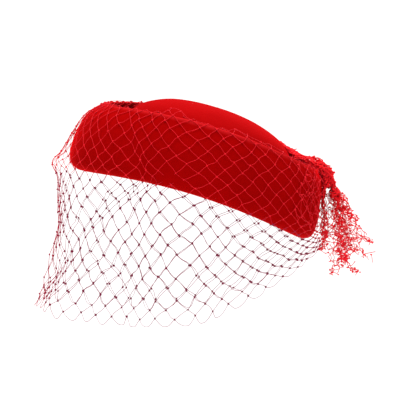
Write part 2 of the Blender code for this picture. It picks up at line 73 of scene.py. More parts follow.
@dataclass(frozen=True)
class SmoothTable:
    """Rows of numbers under named columns, the first of them the key, read on a smooth curve."""

    columns: tuple[str, ...]
    rows: tuple[tuple[float, ...], ...]

    @property
    def last(self) -> float:
        """The key in the last row."""
        return self.rows[-1][0]

    def at(self, column: str, places: np.ndarray) -> np.ndarray:
        """Read one column.

        Args:
            column: name of the column.
            places: values of the key.

        Returns:
            The column's values there, held level beyond the first and last row.
        """
        table = np.array(self.rows, float)
        keys, values = table[:, 0], table[:, self.columns.index(column)]
        spots = np.clip(np.asarray(places, float), keys[0], keys[-1])
        before = np.clip(np.searchsorted(keys, spots, side="left") - 1, 0, len(keys) - 2)
        low = np.maximum(np.arange(len(keys)) - 1, 0)
        high = np.minimum(np.arange(len(keys)) + 1, len(keys) - 1)
        slopes = (values[high] - values[low]) / (keys[high] - keys[low])
        span = keys[before + 1] - keys[before]
        share = (spots - keys[before]) / span
        square, cube = share**2, share**3
        return (
            (2 * cube - 3 * square + 1) * values[before]
            + (cube - 2 * square + share) * slopes[before] * span
            + (3 * square - 2 * cube) * values[before + 1]
            + (cube - square) * slopes[before + 1] * span
        )


# Reaches, levels and the hem's places are shares of the form's main sizes. What stands out, the
# flare and the roll's places and half sizes are in millimetres, and azimuths in degrees.
CUFF_SECTIONS = SmoothTable(
    ("level", "front", "back", "side"),
    (
        (0.00, 0.906, 0.915, 0.909),
        (0.03, 0.948, 0.956, 0.953),
        (0.10, 0.981, 0.981, 0.987),
        (0.22, 0.998, 0.989, 1.000),
        (0.38, 1.000, 0.982, 0.996),
        (0.54, 0.992, 0.970, 0.982),
        (0.68, 0.975, 0.957, 0.960),
        (0.81, 0.946, 0.941, 0.931),
        (0.91, 0.902, 0.915, 0.897),
        (1.00, 0.856, 0.881, 0.868),
    ),
)

CROWN_SECTIONS = SmoothTable(
    ("row", "height", "front", "back", "side", "arch"),
    (
        (0, 1.000, 0.000, 0.000, 0.000, 0.00),
        (1, 0.990, 0.177, 0.156, 0.170, 0.00),
        (2, 0.954, 0.344, 0.318, 0.327, 0.04),
        (3, 0.891, 0.469, 0.464, 0.455, 0.12),
        (4, 0.809, 0.568, 0.578, 0.552, 0.25),
        (5, 0.693, 0.641, 0.656, 0.630, 0.45),
        (6, 0.486, 0.719, 0.734, 0.709, 0.70),
        (7, 0.229, 0.797, 0.807, 0.785, 0.90),
        (8, 0.000, 0.854, 0.862, 0.844, 1.00),
    ),
)

VEIL_ON_CUFF = SmoothTable(
    ("share", "level", "out"),
    (
        (0.000, 0.880, -4.9),
        (0.045, 0.995, -4.7),
        (0.064, 1.022, -2.4),
        (0.084, 1.016, -0.3),
        (0.105, 0.980, 1.3),
        (0.140, 0.900, 1.7),
        (0.250, 0.620, 1.9),
        (0.415, 0.180, 2.8),
    ),
)

VEIL_SECTIONS = SmoothTable(
    ("station", "azimuth", "across", "along", "height", "flare", "proud"),
    (
        (0.00, 0.0, 0.000, -1.250, -0.912, 76.0, 3.5),
        (0.14, 24.0, 0.521, -1.094, -0.950, 44.0, 2.5),
        (0.28, 48.0, 0.836, -0.750, -0.972, 18.0, 1.0),
        (0.42, 72.0, 1.006, -0.354, -1.000, 10.0, 0.0),
        (0.56, 97.0, 1.042, 0.062, -0.972, 8.0, 0.0),
        (0.70, 121.0, 0.933, 0.438, -0.801, 6.0, 0.0),
        (0.85, 146.0, 0.606, 0.781, -0.586, 3.0, 0.0),
        (1.00, 171.0, 0.194, 1.000, -0.387, 0.0, 0.0),
    ),
)

# Which station each column of the real net hangs at: shares of the columns on one side.
COLUMN_STATIONS = SmoothTable(
    ("column", "station"),
    (
        (0.000, 0.000),
        (0.286, 0.264),
        (0.381, 0.354),
        (0.476, 0.424),
        (0.524, 0.470),
        (0.571, 0.525),
        (0.667, 0.622),
        (0.762, 0.728),
        (0.857, 0.838),
        (0.929, 0.922),
        (1.000, 1.000),
    ),
)

# Which half row of the net lies at the cuff's rim and at its edge: the net hangs level, and the
# tipped cuff cuts across its rows.
LEVEL_ROWS = SmoothTable(
    ("station", "rim", "edge"),
    (
        (0.00, 3.0, 9.0),
        (0.14, 3.0, 9.2),
        (0.28, 3.1, 9.5),
        (0.42, 3.6, 10.4),
        (0.56, 4.3, 11.7),
        (0.70, 5.3, 12.8),
        (0.85, 6.5, 14.0),
        (1.00, 7.0, 14.6),
    ),
)

GATHER_PATH = SmoothTable(
    ("row", "behind", "above", "thick", "wide"),
    (
        (0, -28.5, 20.6, 0.5, 2.5),
        (1, -21.5, 15.0, 1.1, 5.0),
        (2, -15.4, 10.2, 2.1, 7.0),
        (3, -8.8, 6.2, 3.3, 8.2),
        (4, -1.2, 3.6, 3.9, 8.6),
        (5, 4.6, -0.2, 4.6, 8.6),
        (6, 7.2, -6.0, 5.4, 8.4),
        (7, 7.6, -12.6, 6.0, 8.6),
    ),
)


@dataclass(frozen=True)
class Fold:
    """A crease or point of the veil, between two places of (station, share)."""

    start: tuple[float, float]
    end: tuple[float, float]
    depth: float
    width: float
    squeeze: float


VEIL_FOLDS = (
    Fold((0.27, 0.11), (0.39, 0.42), 0.0, 0.028, 0.60),
    Fold((0.46, 0.43), (0.08, 0.85), 4.5, 0.040, 0.65),
    Fold((0.01, 0.95), (0.05, 0.93), 1.0, 0.100, 0.60),
    Fold((0.27, 0.80), (0.44, 0.90), 3.0, 0.030, 0.35),
    Fold((0.00, 0.86), (0.03, 0.87), -4.5, 0.100, 0.00),
    Fold((0.00, 0.475), (0.05, 0.475), -5.0, 0.040, 0.00),
)


@dataclass(frozen=True)
class RimLoop:
    """A place where the net's top edge stands up over the rim towards the crown."""

    station: float
    width: float
    up: float
    inwards: float


RIM_LOOPS = (
    RimLoop(0.40, 0.050, 12.5, 11.0),
    RimLoop(0.62, 0.050, 12.0, 12.0),
    RimLoop(0.73, 0.040, 9.0, 9.0),
)


@dataclass(frozen=True)
class HatForm:
    """The hat's main sizes in millimetres and the surfaces that its pieces follow."""

    tilt_deg: float = 16.5
    half_length: float = 96.0
    half_width: float = 82.5
    veil_fall: float = 90.5
    cuff_height: float = 51.5
    edge_front: float = -3.0
    edge_back: float = -5.0
    side_arch: float = 11.0
    crown_top: float = 70.0
    lip_from: float = 4.5
    veil_edge_share: float = 0.415
    veil_loose_from: float = 0.12
    hem_pull: float = 0.85

    def worn(self, points: np.ndarray) -> np.ndarray:
        """Turn points from the hat's own frame to the pose in which it is worn.

        Args:
            points: array whose last axis is X, Y, Z.

        Returns:
            The rotated points.
        """
        turn = math.radians(-self.tilt_deg)
        x, y, z = np.moveaxis(points, -1, 0)
        return np.stack(
            (x, y * math.cos(turn) - z * math.sin(turn), y * math.sin(turn) + z * math.cos(turn)), -1
        )

    def oval(
        self,
        front: np.ndarray,
        back: np.ndarray,
        side: np.ndarray,
        azimuth: np.ndarray,
        out: np.ndarray | float,
    ) -> tuple[np.ndarray, np.ndarray]:
        """Place points on an oval plan.

        Args:
            front: reach to the front, a share of the half length.
            back: reach to the back, a share of the half length.
            side: reach to the sides, a share of the half width.
            azimuth: angle round the hat, 0 at the front and pi / 2 at the wearer's left.
            out: distance outwards from the oval.

        Returns:
            The points' X and Y.
        """
        forward = np.cos(azimuth)
        reach = np.where(forward > 0, front, back) * self.half_length + out
        return (side * self.half_width + out) * np.sin(azimuth), -reach * forward

    def edge_height(self, azimuth: np.ndarray) -> np.ndarray:
        """Height of the cuff's bottom edge in the hat's own frame."""
        backward = (1 - np.cos(azimuth)) / 2
        level = self.edge_front + (self.edge_back - self.edge_front) * backward
        return level + self.side_arch * np.sin(azimuth) ** 2

    def cuff(self, level: np.ndarray, azimuth: np.ndarray, out: np.ndarray | float) -> np.ndarray:
        """Points at levels of the cuff, in the hat's own frame.

        Args:
            level: share of the cuff's height.
            azimuth: angle round the hat.
            out: distance outwards from the cuff's outer face.

        Returns:
            The points.
        """
        level, azimuth, out = np.broadcast_arrays(level, azimuth, out)
        inside = np.clip(level, 0.0, 1.0)
        front, back, side = (CUFF_SECTIONS.at(c, inside) for c in ("front", "back", "side"))
        x, y = self.oval(front, back, side, azimuth, out)
        return np.stack((x, y, self.edge_height(azimuth) + level * self.cuff_height), -1)

    def crown(self, row: np.ndarray, azimuth: np.ndarray) -> np.ndarray:
        """Points of the crown's outer face, in the hat's own frame.

        Args:
            row: place along the crown's sections, 0 at the top.
            azimuth: angle round the hat.

        Returns:
            The points.
        """
        row, azimuth = np.broadcast_arrays(row, azimuth)
        front, back, side, height, arch = (
            CROWN_SECTIONS.at(c, row) for c in ("front", "back", "side", "height", "arch")
        )
        x, y = self.oval(front, back, side, azimuth, 0.0)
        sides = np.sin(azimuth) ** 2
        follow = self.edge_height(azimuth) - self.side_arch * sides + self.lip_from
        rise = arch * (self.side_arch * sides + follow)
        return np.stack((x, y, height * self.crown_top + rise), -1)

    def crown_reach(self, height: float) -> tuple[float, float, float]:
        """Shares of the crown's reach at one height above the head opening.

        Args:
            height: height in the hat's own frame.

        Returns:
            The front, back and side shares.
        """
        wall_from, wall_to, steps = 4, 8, 81
        rows = np.linspace(wall_from, wall_to, steps)
        level = CROWN_SECTIONS.at("height", rows) * self.crown_top
        row = np.interp(-height, -level, rows)
        return tuple(float(CROWN_SECTIONS.at(c, row)) for c in ("front", "back", "side"))

    def veil_on_cuff(self, station: np.ndarray, share: np.ndarray) -> np.ndarray:
        """Points of the veil where it lies on the cuff, in world axes.

        Args:
            station: way round from the front, negative on the wearer's right.
            share: way down the net.

        Returns:
            The points.
        """
        side = np.where(station < 0, -1.0, 1.0)
        azimuth = np.radians(VEIL_SECTIONS.at("azimuth", np.abs(station))) * side
        proud = VEIL_SECTIONS.at("proud", np.abs(station))
        length = self.veil_edge_share - self.veil_loose_from
        loose = np.clip((share - self.veil_loose_from) / length, 0.0, 1.0)
        out = VEIL_ON_CUFF.at("out", share) + proud * loose * loose
        return self.worn(self.cuff(VEIL_ON_CUFF.at("level", share), azimuth, out))

    def veil_below(self, station: np.ndarray, share: np.ndarray) -> np.ndarray:
        """Points of the veil where it hangs below the cuff, in world axes.

        Args:
            station: way round from the front.
            share: way down the net.

        Returns:
            The points.
        """
        step = 0.004
        edge = np.full_like(station, self.veil_edge_share)
        top, above = self.veil_on_cuff(station, edge), self.veil_on_cuff(station, edge - step)
        side = np.where(station < 0, -1.0, 1.0)
        across, along, height, flare, azimuth = (
            VEIL_SECTIONS.at(c, np.abs(station))
            for c in ("across", "along", "height", "flare", "azimuth")
        )
        turn = np.radians(azimuth)
        hem = np.stack(
            (side * across * self.half_width, along * self.half_length, height * self.veil_fall), -1
        )
        outwards = np.stack((side * np.sin(turn), -np.cos(turn), 0 * turn), -1) * flare[..., None]
        length = 1 - self.veil_edge_share
        t = np.maximum(share - self.veil_edge_share, 0.0)[..., None] / length
        leave = (top - above) / step * length
        reach = np.linalg.norm(leave, axis=-1, keepdims=True)
        leave = leave / reach * np.minimum(reach, np.linalg.norm(hem - top, axis=-1, keepdims=True))
        arrive = (hem - top) * self.hem_pull + outwards
        square, cube = t**2, t**3
        return (
            top * (2 * cube - 3 * square + 1)
            + leave * (cube - 2 * square + t)
            + hem * (3 * square - 2 * cube)
            + arrive * (cube - square)
        )

    def veil(self, station: np.ndarray, share: np.ndarray) -> tuple[np.ndarray, np.ndarray]:
        """The veil's surface with its folds, in world axes.

        Args:
            station: way round from the front.
            share: way down the net.

        Returns:
            The points and the outward directions there.
        """
        step = 0.003
        beside = self.veil_plain(station + step, share) - self.veil_plain(station - step, share)
        below = self.veil_plain(station, np.minimum(share + step, 1.0))
        below = below - self.veil_plain(station, np.maximum(share - step, 0.0))
        outwards = unit(np.cross(below, beside))
        sunk = sum(fold.depth * fold_nearness(fold, station, share)[0] for fold in VEIL_FOLDS)
        return self.veil_plain(station, share) - outwards * sunk[..., None], outwards

    def veil_plain(self, station: np.ndarray, share: np.ndarray) -> np.ndarray:
        """The veil's surface without its folds."""
        lies = (share <= self.veil_edge_share)[..., None]
        return np.where(lies, self.veil_on_cuff(station, share), self.veil_below(station, share))

    def gather_middle(self, row: np.ndarray) -> np.ndarray:
        """Middles of the roll of bunched net, placed from the back of the cuff's rim.

        Args:
            row: place along the roll's sections.

        Returns:
            The points.
        """
        rim = self.worn(self.cuff(np.array(1.0), np.array(math.pi), 0.0))
        behind, above = GATHER_PATH.at("behind", row), GATHER_PATH.at("above", row)
        return rim + np.stack((np.zeros_like(behind), behind, above), -1)


def unit(directions: np.ndarray) -> np.ndarray:
    """Directions made one long."""
    return directions / np.maximum(np.linalg.norm(directions, axis=-1, keepdims=True), 1e-9)


def fold_nearness(
    fold: Fold, station: np.ndarray, share: np.ndarray
) -> tuple[np.ndarray, np.ndarray, np.ndarray]:
    """How near places of the veil are to a fold.

    Args:
        fold: the fold.
        station: way round from the front.
        share: way down the net.

    Returns:
        The nearness from 0 to 1, and the way from the fold's line in station and in share.
    """
    start, end = np.array(fold.start), np.array(fold.end)
    line = end - start
    place = np.stack((np.abs(station), share), -1) - start
    along = np.clip(place @ line / (line @ line), 0.0, 1.0)
    away = place - along[..., None] * line
    nearness = np.exp(-((np.linalg.norm(away, axis=-1) / fold.width) ** 2))
    return nearness, away[..., 0], away[..., 1]


def wander(points: np.ndarray, wave: float, seed: int) -> np.ndarray:
    """A smooth sideways drift that differs from place to place.

    Args:
        points: places, in millimetres.
        wave: rough length of the drift's waves, in millimetres.
        seed: number that picks the drift.

    Returns:
        Offsets from about -1 to 1 on each axis.
    """
    rng = np.random.default_rng(seed)
    total = np.zeros_like(points)
    for _ in range(WAVES):
        turns = rng.normal(size=(3, 3)) * math.tau / wave / WAVE_SPREAD
        phase = rng.uniform(0, math.tau, 3)
        total += np.sin(points @ turns + phase)
    return total / WAVE_SUM


def wander_alike(points: np.ndarray, wave: float, seed: int) -> np.ndarray:
    """The drift of wander, the same on the wearer's left and right."""
    side = np.where(points[..., :1] < 0, -1.0, 1.0)
    flip = np.concatenate((side, np.ones_like(side), np.ones_like(side)), -1)
    return wander(points * flip, wave, seed) * flip


# Meshes


def ring_mesh(
    name: str, rings: Sequence[np.ndarray], closed_loop: bool, tips: Sequence[np.ndarray] = ()
) -> bpy.types.Mesh:
    """Join rings of points into a closed shell.

    Args:
        name: the mesh's name.
        rings: arrays of points in millimetres, each as long as the others.
        closed_loop: whether the last ring joins the first.
        tips: middle points that close the first and the last ring.

    Returns:
        The mesh in metres, with its faces outwards and smooth.
    """
    shape = bmesh.new()
    placed = [[shape.verts.new(point) for point in ring * MM] for ring in rings]
    pairs = list(zip(placed, placed[1:]))
    if closed_loop:
        pairs.append((placed[-1], placed[0]))
    count = len(placed[0])
    for lower, upper in pairs:
        for i in range(count):
            j = (i + 1) % count
            shape.faces.new((lower[i], lower[j], upper[j], upper[i]))
    for ring, tip in zip((placed[0], placed[-1]), tips):
        middle = shape.verts.new(tip * MM)
        for i in range(count):
            shape.faces.new((ring[i], ring[(i + 1) % count], middle))
    bmesh.ops.recalc_face_normals(shape, faces=shape.faces)
    mesh = bpy.data.meshes.new(name)
    shape.to_mesh(mesh)
    shape.free()
    mesh.polygons.foreach_set("use_smooth", [True] * len(mesh.polygons))
    return mesh


def add_piece(name: str, mesh: bpy.types.Mesh) -> bpy.types.Object:
    """Put a mesh into the scene as an object at the origin."""
    piece = bpy.data.objects.new(name, mesh)
    bpy.context.scene.collection.objects.link(piece)
    return piece


def store(mesh: bpy.types.Mesh, name: str, values: np.ndarray) -> None:
    """Keep one number for each of the mesh's points under a name."""
    layer = mesh.attributes.new(name, "FLOAT", "POINT")
    layer.data.foreach_set("value", np.asarray(values, np.float32))


# Materials and Geometry Nodes


class Sock:
    """A shader socket that takes part in Python expressions on numbers."""

    def __init__(self, shading: "Shading", socket: bpy.types.NodeSocket) -> None:
        """Wrap a socket of a shading's tree."""
        self.shading = shading
        self.socket = socket

    def _math(self, operation: str, first: Any, second: Any) -> "Sock":
        """Add a Math node on two values."""
        return self.shading.add("ShaderNodeMath", {"operation": operation}, {0: first, 1: second})

    def __add__(self, other: Any) -> "Sock":
        """Sum of two values."""
        return self._math("ADD", self, other)

    def __sub__(self, other: Any) -> "Sock":
        """Difference of two values."""
        return self._math("SUBTRACT", self, other)

    def __rsub__(self, other: Any) -> "Sock":
        """Difference with this value taken away."""
        return self._math("SUBTRACT", other, self)

    def __mul__(self, other: Any) -> "Sock":
        """Product of two values."""
        return self._math("MULTIPLY", self, other)

    __radd__ = __add__
    __rmul__ = __mul__


class Shading:
    """A material in the making: one tree, its nodes and the Principled shader at its end."""

    def __init__(self, name: str) -> None:
        """Start a material with an empty tree."""
        self.material = bpy.data.materials.new(name)
        self.material.use_nodes = True
        self.tree = self.material.node_tree
        self.tree.nodes.clear()

    def add(
        self,
        kind: str,
        settings: Mapping[str, Any] | None = None,
        values: Mapping[str | int, Any] | None = None,
        output: str | int = 0,
    ) -> Sock:
        """Add a node.

        Args:
            kind: the node's type.
            settings: the node's own properties, set before its sockets.
            values: numbers, colours or sockets for its inputs, by name or place.
            output: which output to hand back.

        Returns:
            The output socket.
        """
        node = self.tree.nodes.new(kind)
        for key, value in (settings or {}).items():
            setattr(node, key, value)
        for key, value in (values or {}).items():
            if isinstance(value, Sock):
                self.tree.links.new(value.socket, node.inputs[key])
            else:
                node.inputs[key].default_value = value
        return Sock(self, node.outputs[output])

    def places(self) -> Sock:
        """Places on the object, in metres."""
        return self.add("ShaderNodeTexCoord", None, None, "Object")

    def stored(self, name: str) -> Sock:
        """A number that the mesh keeps for each of its points."""
        return self.add("ShaderNodeAttribute", {"attribute_name": name}, None, "Fac")

    def bump(self, strength: float, distance: float, height: Sock) -> Sock:
        """The normal over a relief, its distance in metres."""
        return self.add(
            "ShaderNodeBump", None, {"Strength": strength, "Distance": distance, "Height": height}
        )

    def noise(self, where: Sock, scale: float, detail: float, roughness: float = 0.5) -> Sock:
        """Noise over a place, from 0 to 1."""
        return self.add(
            "ShaderNodeTexNoise",
            {"noise_dimensions": "3D"},
            {"Vector": where, "Scale": scale, "Detail": detail, "Roughness": roughness},
        )

    def mix(self, factor: Sock | float, low: Any, high: Any) -> Sock:
        """Blend two colours."""
        return self.add(
            "ShaderNodeMix", {"data_type": "RGBA", "clamp_factor": True}, {0: factor, 6: low, 7: high}, 2
        )

    def end(self, values: Mapping[str, Any]) -> bpy.types.Material:
        """Finish with a Principled shader.

        Args:
            values: numbers, colours or sockets for its inputs.

        Returns:
            The material.
        """
        surface = self.add("ShaderNodeBsdfPrincipled", None, values)
        end = self.tree.nodes.new("ShaderNodeOutputMaterial")
        self.tree.links.new(surface.socket, end.inputs["Surface"])
        return self.material


Colour = tuple[float, float, float]


@dataclass(frozen=True)
class Velvet:
    """Silk velvet: short upright pile with a sheen, and a painted highlight of lighter red along the
    cuff's rim.
    """

    name: str
    deep: Colour
    lit: Colour
    sheen: float
    sheen_tint: Colour
    sheen_roughness: float
    # Colour of the painted highlight along the cuff's rim, where the velvet turns over.
    rim_highlight: Colour = (0.40, 0.007, 0.009)
    pile_per_metre: float = 2600.0
    brushed_per_metre: float = 38.0

    def material(self) -> bpy.types.Material:
        """Build the material.

        Returns:
            The velvet.
        """
        shading = Shading(self.name)
        where = shading.places()
        brushed = shading.noise(where, self.brushed_per_metre, 4.0, 0.55)
        pile = shading.noise(where, self.pile_per_metre, 2.0, 0.6)
        nap = shading.noise(where, self.pile_per_metre * 0.18, 2.0, 0.5)
        tone = brushed * 0.75 + pile * 0.35 + nap * 0.30 - 0.2
        # Painted highlight: a lighter red laid over the velvet near the cuff's rim.
        rim_highlight_mask = shading.stored("rim_highlight_mask")
        flat = shading.mix(tone, (*self.deep, 1.0), (*self.lit, 1.0))
        colour = shading.mix(rim_highlight_mask, flat, (*self.rim_highlight, 1.0))
        normal = shading.bump(0.35, 0.0004, pile * 0.6 + nap * 0.4)
        return shading.end({
            "Base Color": colour,
            "Roughness": 0.92 - 0.10 * brushed,
            "Normal": normal,
            "Specular IOR Level": 0.006,
            "Sheen Weight": self.sheen,
            "Sheen Roughness": self.sheen_roughness,
            "Sheen Tint": (*self.sheen_tint, 1.0),
        })


@dataclass(frozen=True)
class NetThread:
    """Dyed net thread, with painted shade where it hangs free below the cuff, deeper still in its knots
    there.
    """

    name: str
    worn_close: Colour
    # Colours where the shade number is 1: in the veil, painted shade on the thread hanging below the
    # cuff, darker still in its knots.
    hanging_shade: Colour
    knot_shade: Colour
    dye_shadow: Colour = (0.12, 0.004, 0.010)
    twist_per_metre: float = 1800.0
    dye_per_metre: float = 90.0

    def material(self) -> bpy.types.Material:
        """Build the material.

        Returns:
            The thread.
        """
        shading = Shading(self.name)
        where = shading.places()
        hang_shade, knot = shading.stored("hang_shade"), shading.stored("knot")
        twist = shading.noise(where, self.twist_per_metre, 2.0)
        uneven = shading.noise(where, self.dye_per_metre, 2.0)
        # Painted shade: darker where the thread hangs below the cuff, and darker still in its knots
        # there.
        thread = shading.mix(hang_shade, (*self.worn_close, 1.0), (*self.hanging_shade, 1.0))
        shaded = shading.mix(knot * hang_shade * 0.8, thread, (*self.knot_shade, 1.0))
        dark = shading.mix(uneven * 0.30 + twist * 0.25, shaded, (*self.dye_shadow, 1.0))
        normal = shading.bump(0.25, 0.0002, twist)
        return shading.end({
            "Base Color": dark,
            "Roughness": 0.45 + 0.2 * uneven,
            "Normal": normal,
            "Specular IOR Level": 0.04,
            "Sheen Weight": 0.10,
            "Sheen Roughness": 0.5,
            "Sheen Tint": (1.0, 0.04, 0.06, 1.0),
        })


class NetTree:
    """Geometry Nodes that draw thread along edges and tie a knot at each marked point."""

    def __init__(self, name: str, material: bpy.types.Material) -> None:
        """Build the tree.

        Args:
            name: the tree's name.
            material: what the thread is made of.
        """
        self.tree = bpy.data.node_groups.new(name, "GeometryNodeTree")
        face = self.tree.interface
        face.new_socket("Lines", in_out="INPUT", socket_type="NodeSocketGeometry")
        for label, kind, low, high, value in (
            ("Thread Radius", "NodeSocketFloat", 0.00005, 0.002, 0.0003),
            ("Thread Sides", "NodeSocketInt", 3, 12, 4),
            ("Knot Radius", "NodeSocketFloat", 0.0001, 0.004, 0.001),
            ("Knot Spread", "NodeSocketFloat", 0.0, 0.9, 0.2),
            ("Close Knots", "NodeSocketFloat", 0.0, 1.0, 1.0),
            ("Seed", "NodeSocketInt", 0, 9999, 7),
        ):
            socket = face.new_socket(label, in_out="INPUT", socket_type=kind)
            socket.min_value, socket.max_value, socket.default_value = low, high, value
        face.new_socket("Net", in_out="OUTPUT", socket_type="NodeSocketGeometry")
        self._fill(material)

    def _node(
        self, kind: str, settings: Mapping[str, Any] | None, values: Mapping[str | int, Any]
    ) -> bpy.types.Node:
        """Add a node.

        Args:
            kind: the node's type.
            settings: the node's own properties.
            values: values or output sockets for its inputs.

        Returns:
            The node.
        """
        node = self.tree.nodes.new(kind)
        for key, value in (settings or {}).items():
            setattr(node, key, value)
        for key, value in values.items():
            if isinstance(value, bpy.types.NodeSocket):
                self.tree.links.new(value, node.inputs[key])
            else:
                node.inputs[key].default_value = value
        return node

    def _stored(self, name: str) -> bpy.types.NodeSocket:
        """A number that the lines keep for each of their points."""
        kind = "GeometryNodeInputNamedAttribute"
        return self._node(kind, {"data_type": "FLOAT"}, {"Name": name}).outputs["Attribute"]

    def _math(self, operation: str, *values: Any) -> bpy.types.NodeSocket:
        """The result of a Math node."""
        node = self._node("ShaderNodeMath", {"operation": operation}, dict(enumerate(values)))
        return node.outputs[0]

    def _random(self, low: Any, high: Any, seed: Any) -> bpy.types.NodeSocket:
        """Three random numbers for each point."""
        values = {"Min": low, "Max": high, "Seed": seed}
        return self._node("FunctionNodeRandomValue", {"data_type": "FLOAT_VECTOR"}, values).outputs[0]

    def _fill(self, material: bpy.types.Material) -> None:
        """Lay out the nodes, from the lines to the dressed net."""
        given = self._node("NodeGroupInput", None, {}).outputs
        curve = self._node("GeometryNodeMeshToCurve", None, {"Mesh": given["Lines"]})
        ring = self._node(
            "GeometryNodeCurvePrimitiveCircle",
            {"mode": "RADIUS"},
            {"Resolution": given["Thread Sides"], "Radius": given["Thread Radius"]},
        )
        thread = self._node(
            "GeometryNodeCurveToMesh",
            None,
            {"Curve": curve.outputs[0], "Profile Curve": ring.outputs[0], "Fill Caps": True},
        )
        chosen = self._node(
            "FunctionNodeCompare",
            {"data_type": "FLOAT", "operation": "GREATER_THAN"},
            {0: self._stored("tied"), 1: 0.5},
        )
        spots = self._node(
            "GeometryNodeMeshToPoints",
            {"mode": "VERTICES"},
            {"Mesh": given["Lines"], "Selection": chosen.outputs[0]},
        )
        ball = self._node(
            "GeometryNodeMeshUVSphere", None, {"Segments": 6, "Rings": 4, "Radius": given["Knot Radius"]}
        )
        marked = self._node(
            "GeometryNodeStoreNamedAttribute",
            {"data_type": "FLOAT", "domain": "POINT"},
            {"Geometry": ball.outputs["Mesh"], "Name": "knot", "Value": 1.0},
        )
        least = self._math("SUBTRACT", 1.0, given["Knot Spread"])
        most = self._math("ADD", 1.0, given["Knot Spread"])
        sizes = self._random(least, most, given["Seed"])
        turns = self._random((0.0, 0.0, 0.0), (math.tau,) * 3, given["Seed"])
        # Knots grow with the same number that paints the thread's shade: where it is 0, on the cuff,
        # they shrink to Close Knots of their size.
        rest = self._math("SUBTRACT", 1.0, given["Close Knots"])
        share = self._math("MULTIPLY_ADD", self._stored("hang_shade"), rest, given["Close Knots"])
        scales = self._node(
            "ShaderNodeVectorMath", {"operation": "SCALE"}, {0: sizes, "Scale": share}
        )
        knots = self._node(
            "GeometryNodeInstanceOnPoints",
            None,
            {
                "Points": spots.outputs[0],
                "Instance": marked.outputs[0],
                "Rotation": turns,
                "Scale": scales.outputs[0],
            },
        )
        joined = self._node("GeometryNodeJoinGeometry", None, {})
        self.tree.links.new(knots.outputs[0], joined.inputs[0])
        self.tree.links.new(thread.outputs[0], joined.inputs[0])
        smooth = self._node("GeometryNodeSetShadeSmooth", None, {"Geometry": joined.outputs[0]})
        real = self._node("GeometryNodeRealizeInstances", None, {"Geometry": smooth.outputs[0]})
        dressed = self._node(
            "GeometryNodeSetMaterial", None, {"Geometry": real.outputs[0], "Material": material}
        )
        self._node("NodeGroupOutput", None, {"Net": dressed.outputs[0]})

    def applied(self, lines: bpy.types.Object, sizes: Mapping[str, Any]) -> bpy.types.Object:
        """Run the tree on an object's lines and keep the result as a plain mesh.

        Args:
            lines: object of edges and marked points.
            sizes: the tree's inputs by name.

        Returns:
            The same object with the net as its mesh and no modifier.
        """
        modifier = lines.modifiers.new("net", "NODES")
        modifier.node_group = self.tree
        for item in self.tree.interface.items_tree:
            if item.item_type == "SOCKET" and item.name in sizes:
                modifier[item.identifier] = sizes[item.name]
        graph = bpy.context.evaluated_depsgraph_get()
        net = bpy.data.meshes.new_from_object(lines.evaluated_get(graph))
        net.name = lines.name
        lines.modifiers.remove(modifier)
        lines.data = net
        return lines


# Net and loose thread


class Hem(Enum):
    """How the last row of a net ends."""

    LOOPED = "looped"
    CUT = "cut"


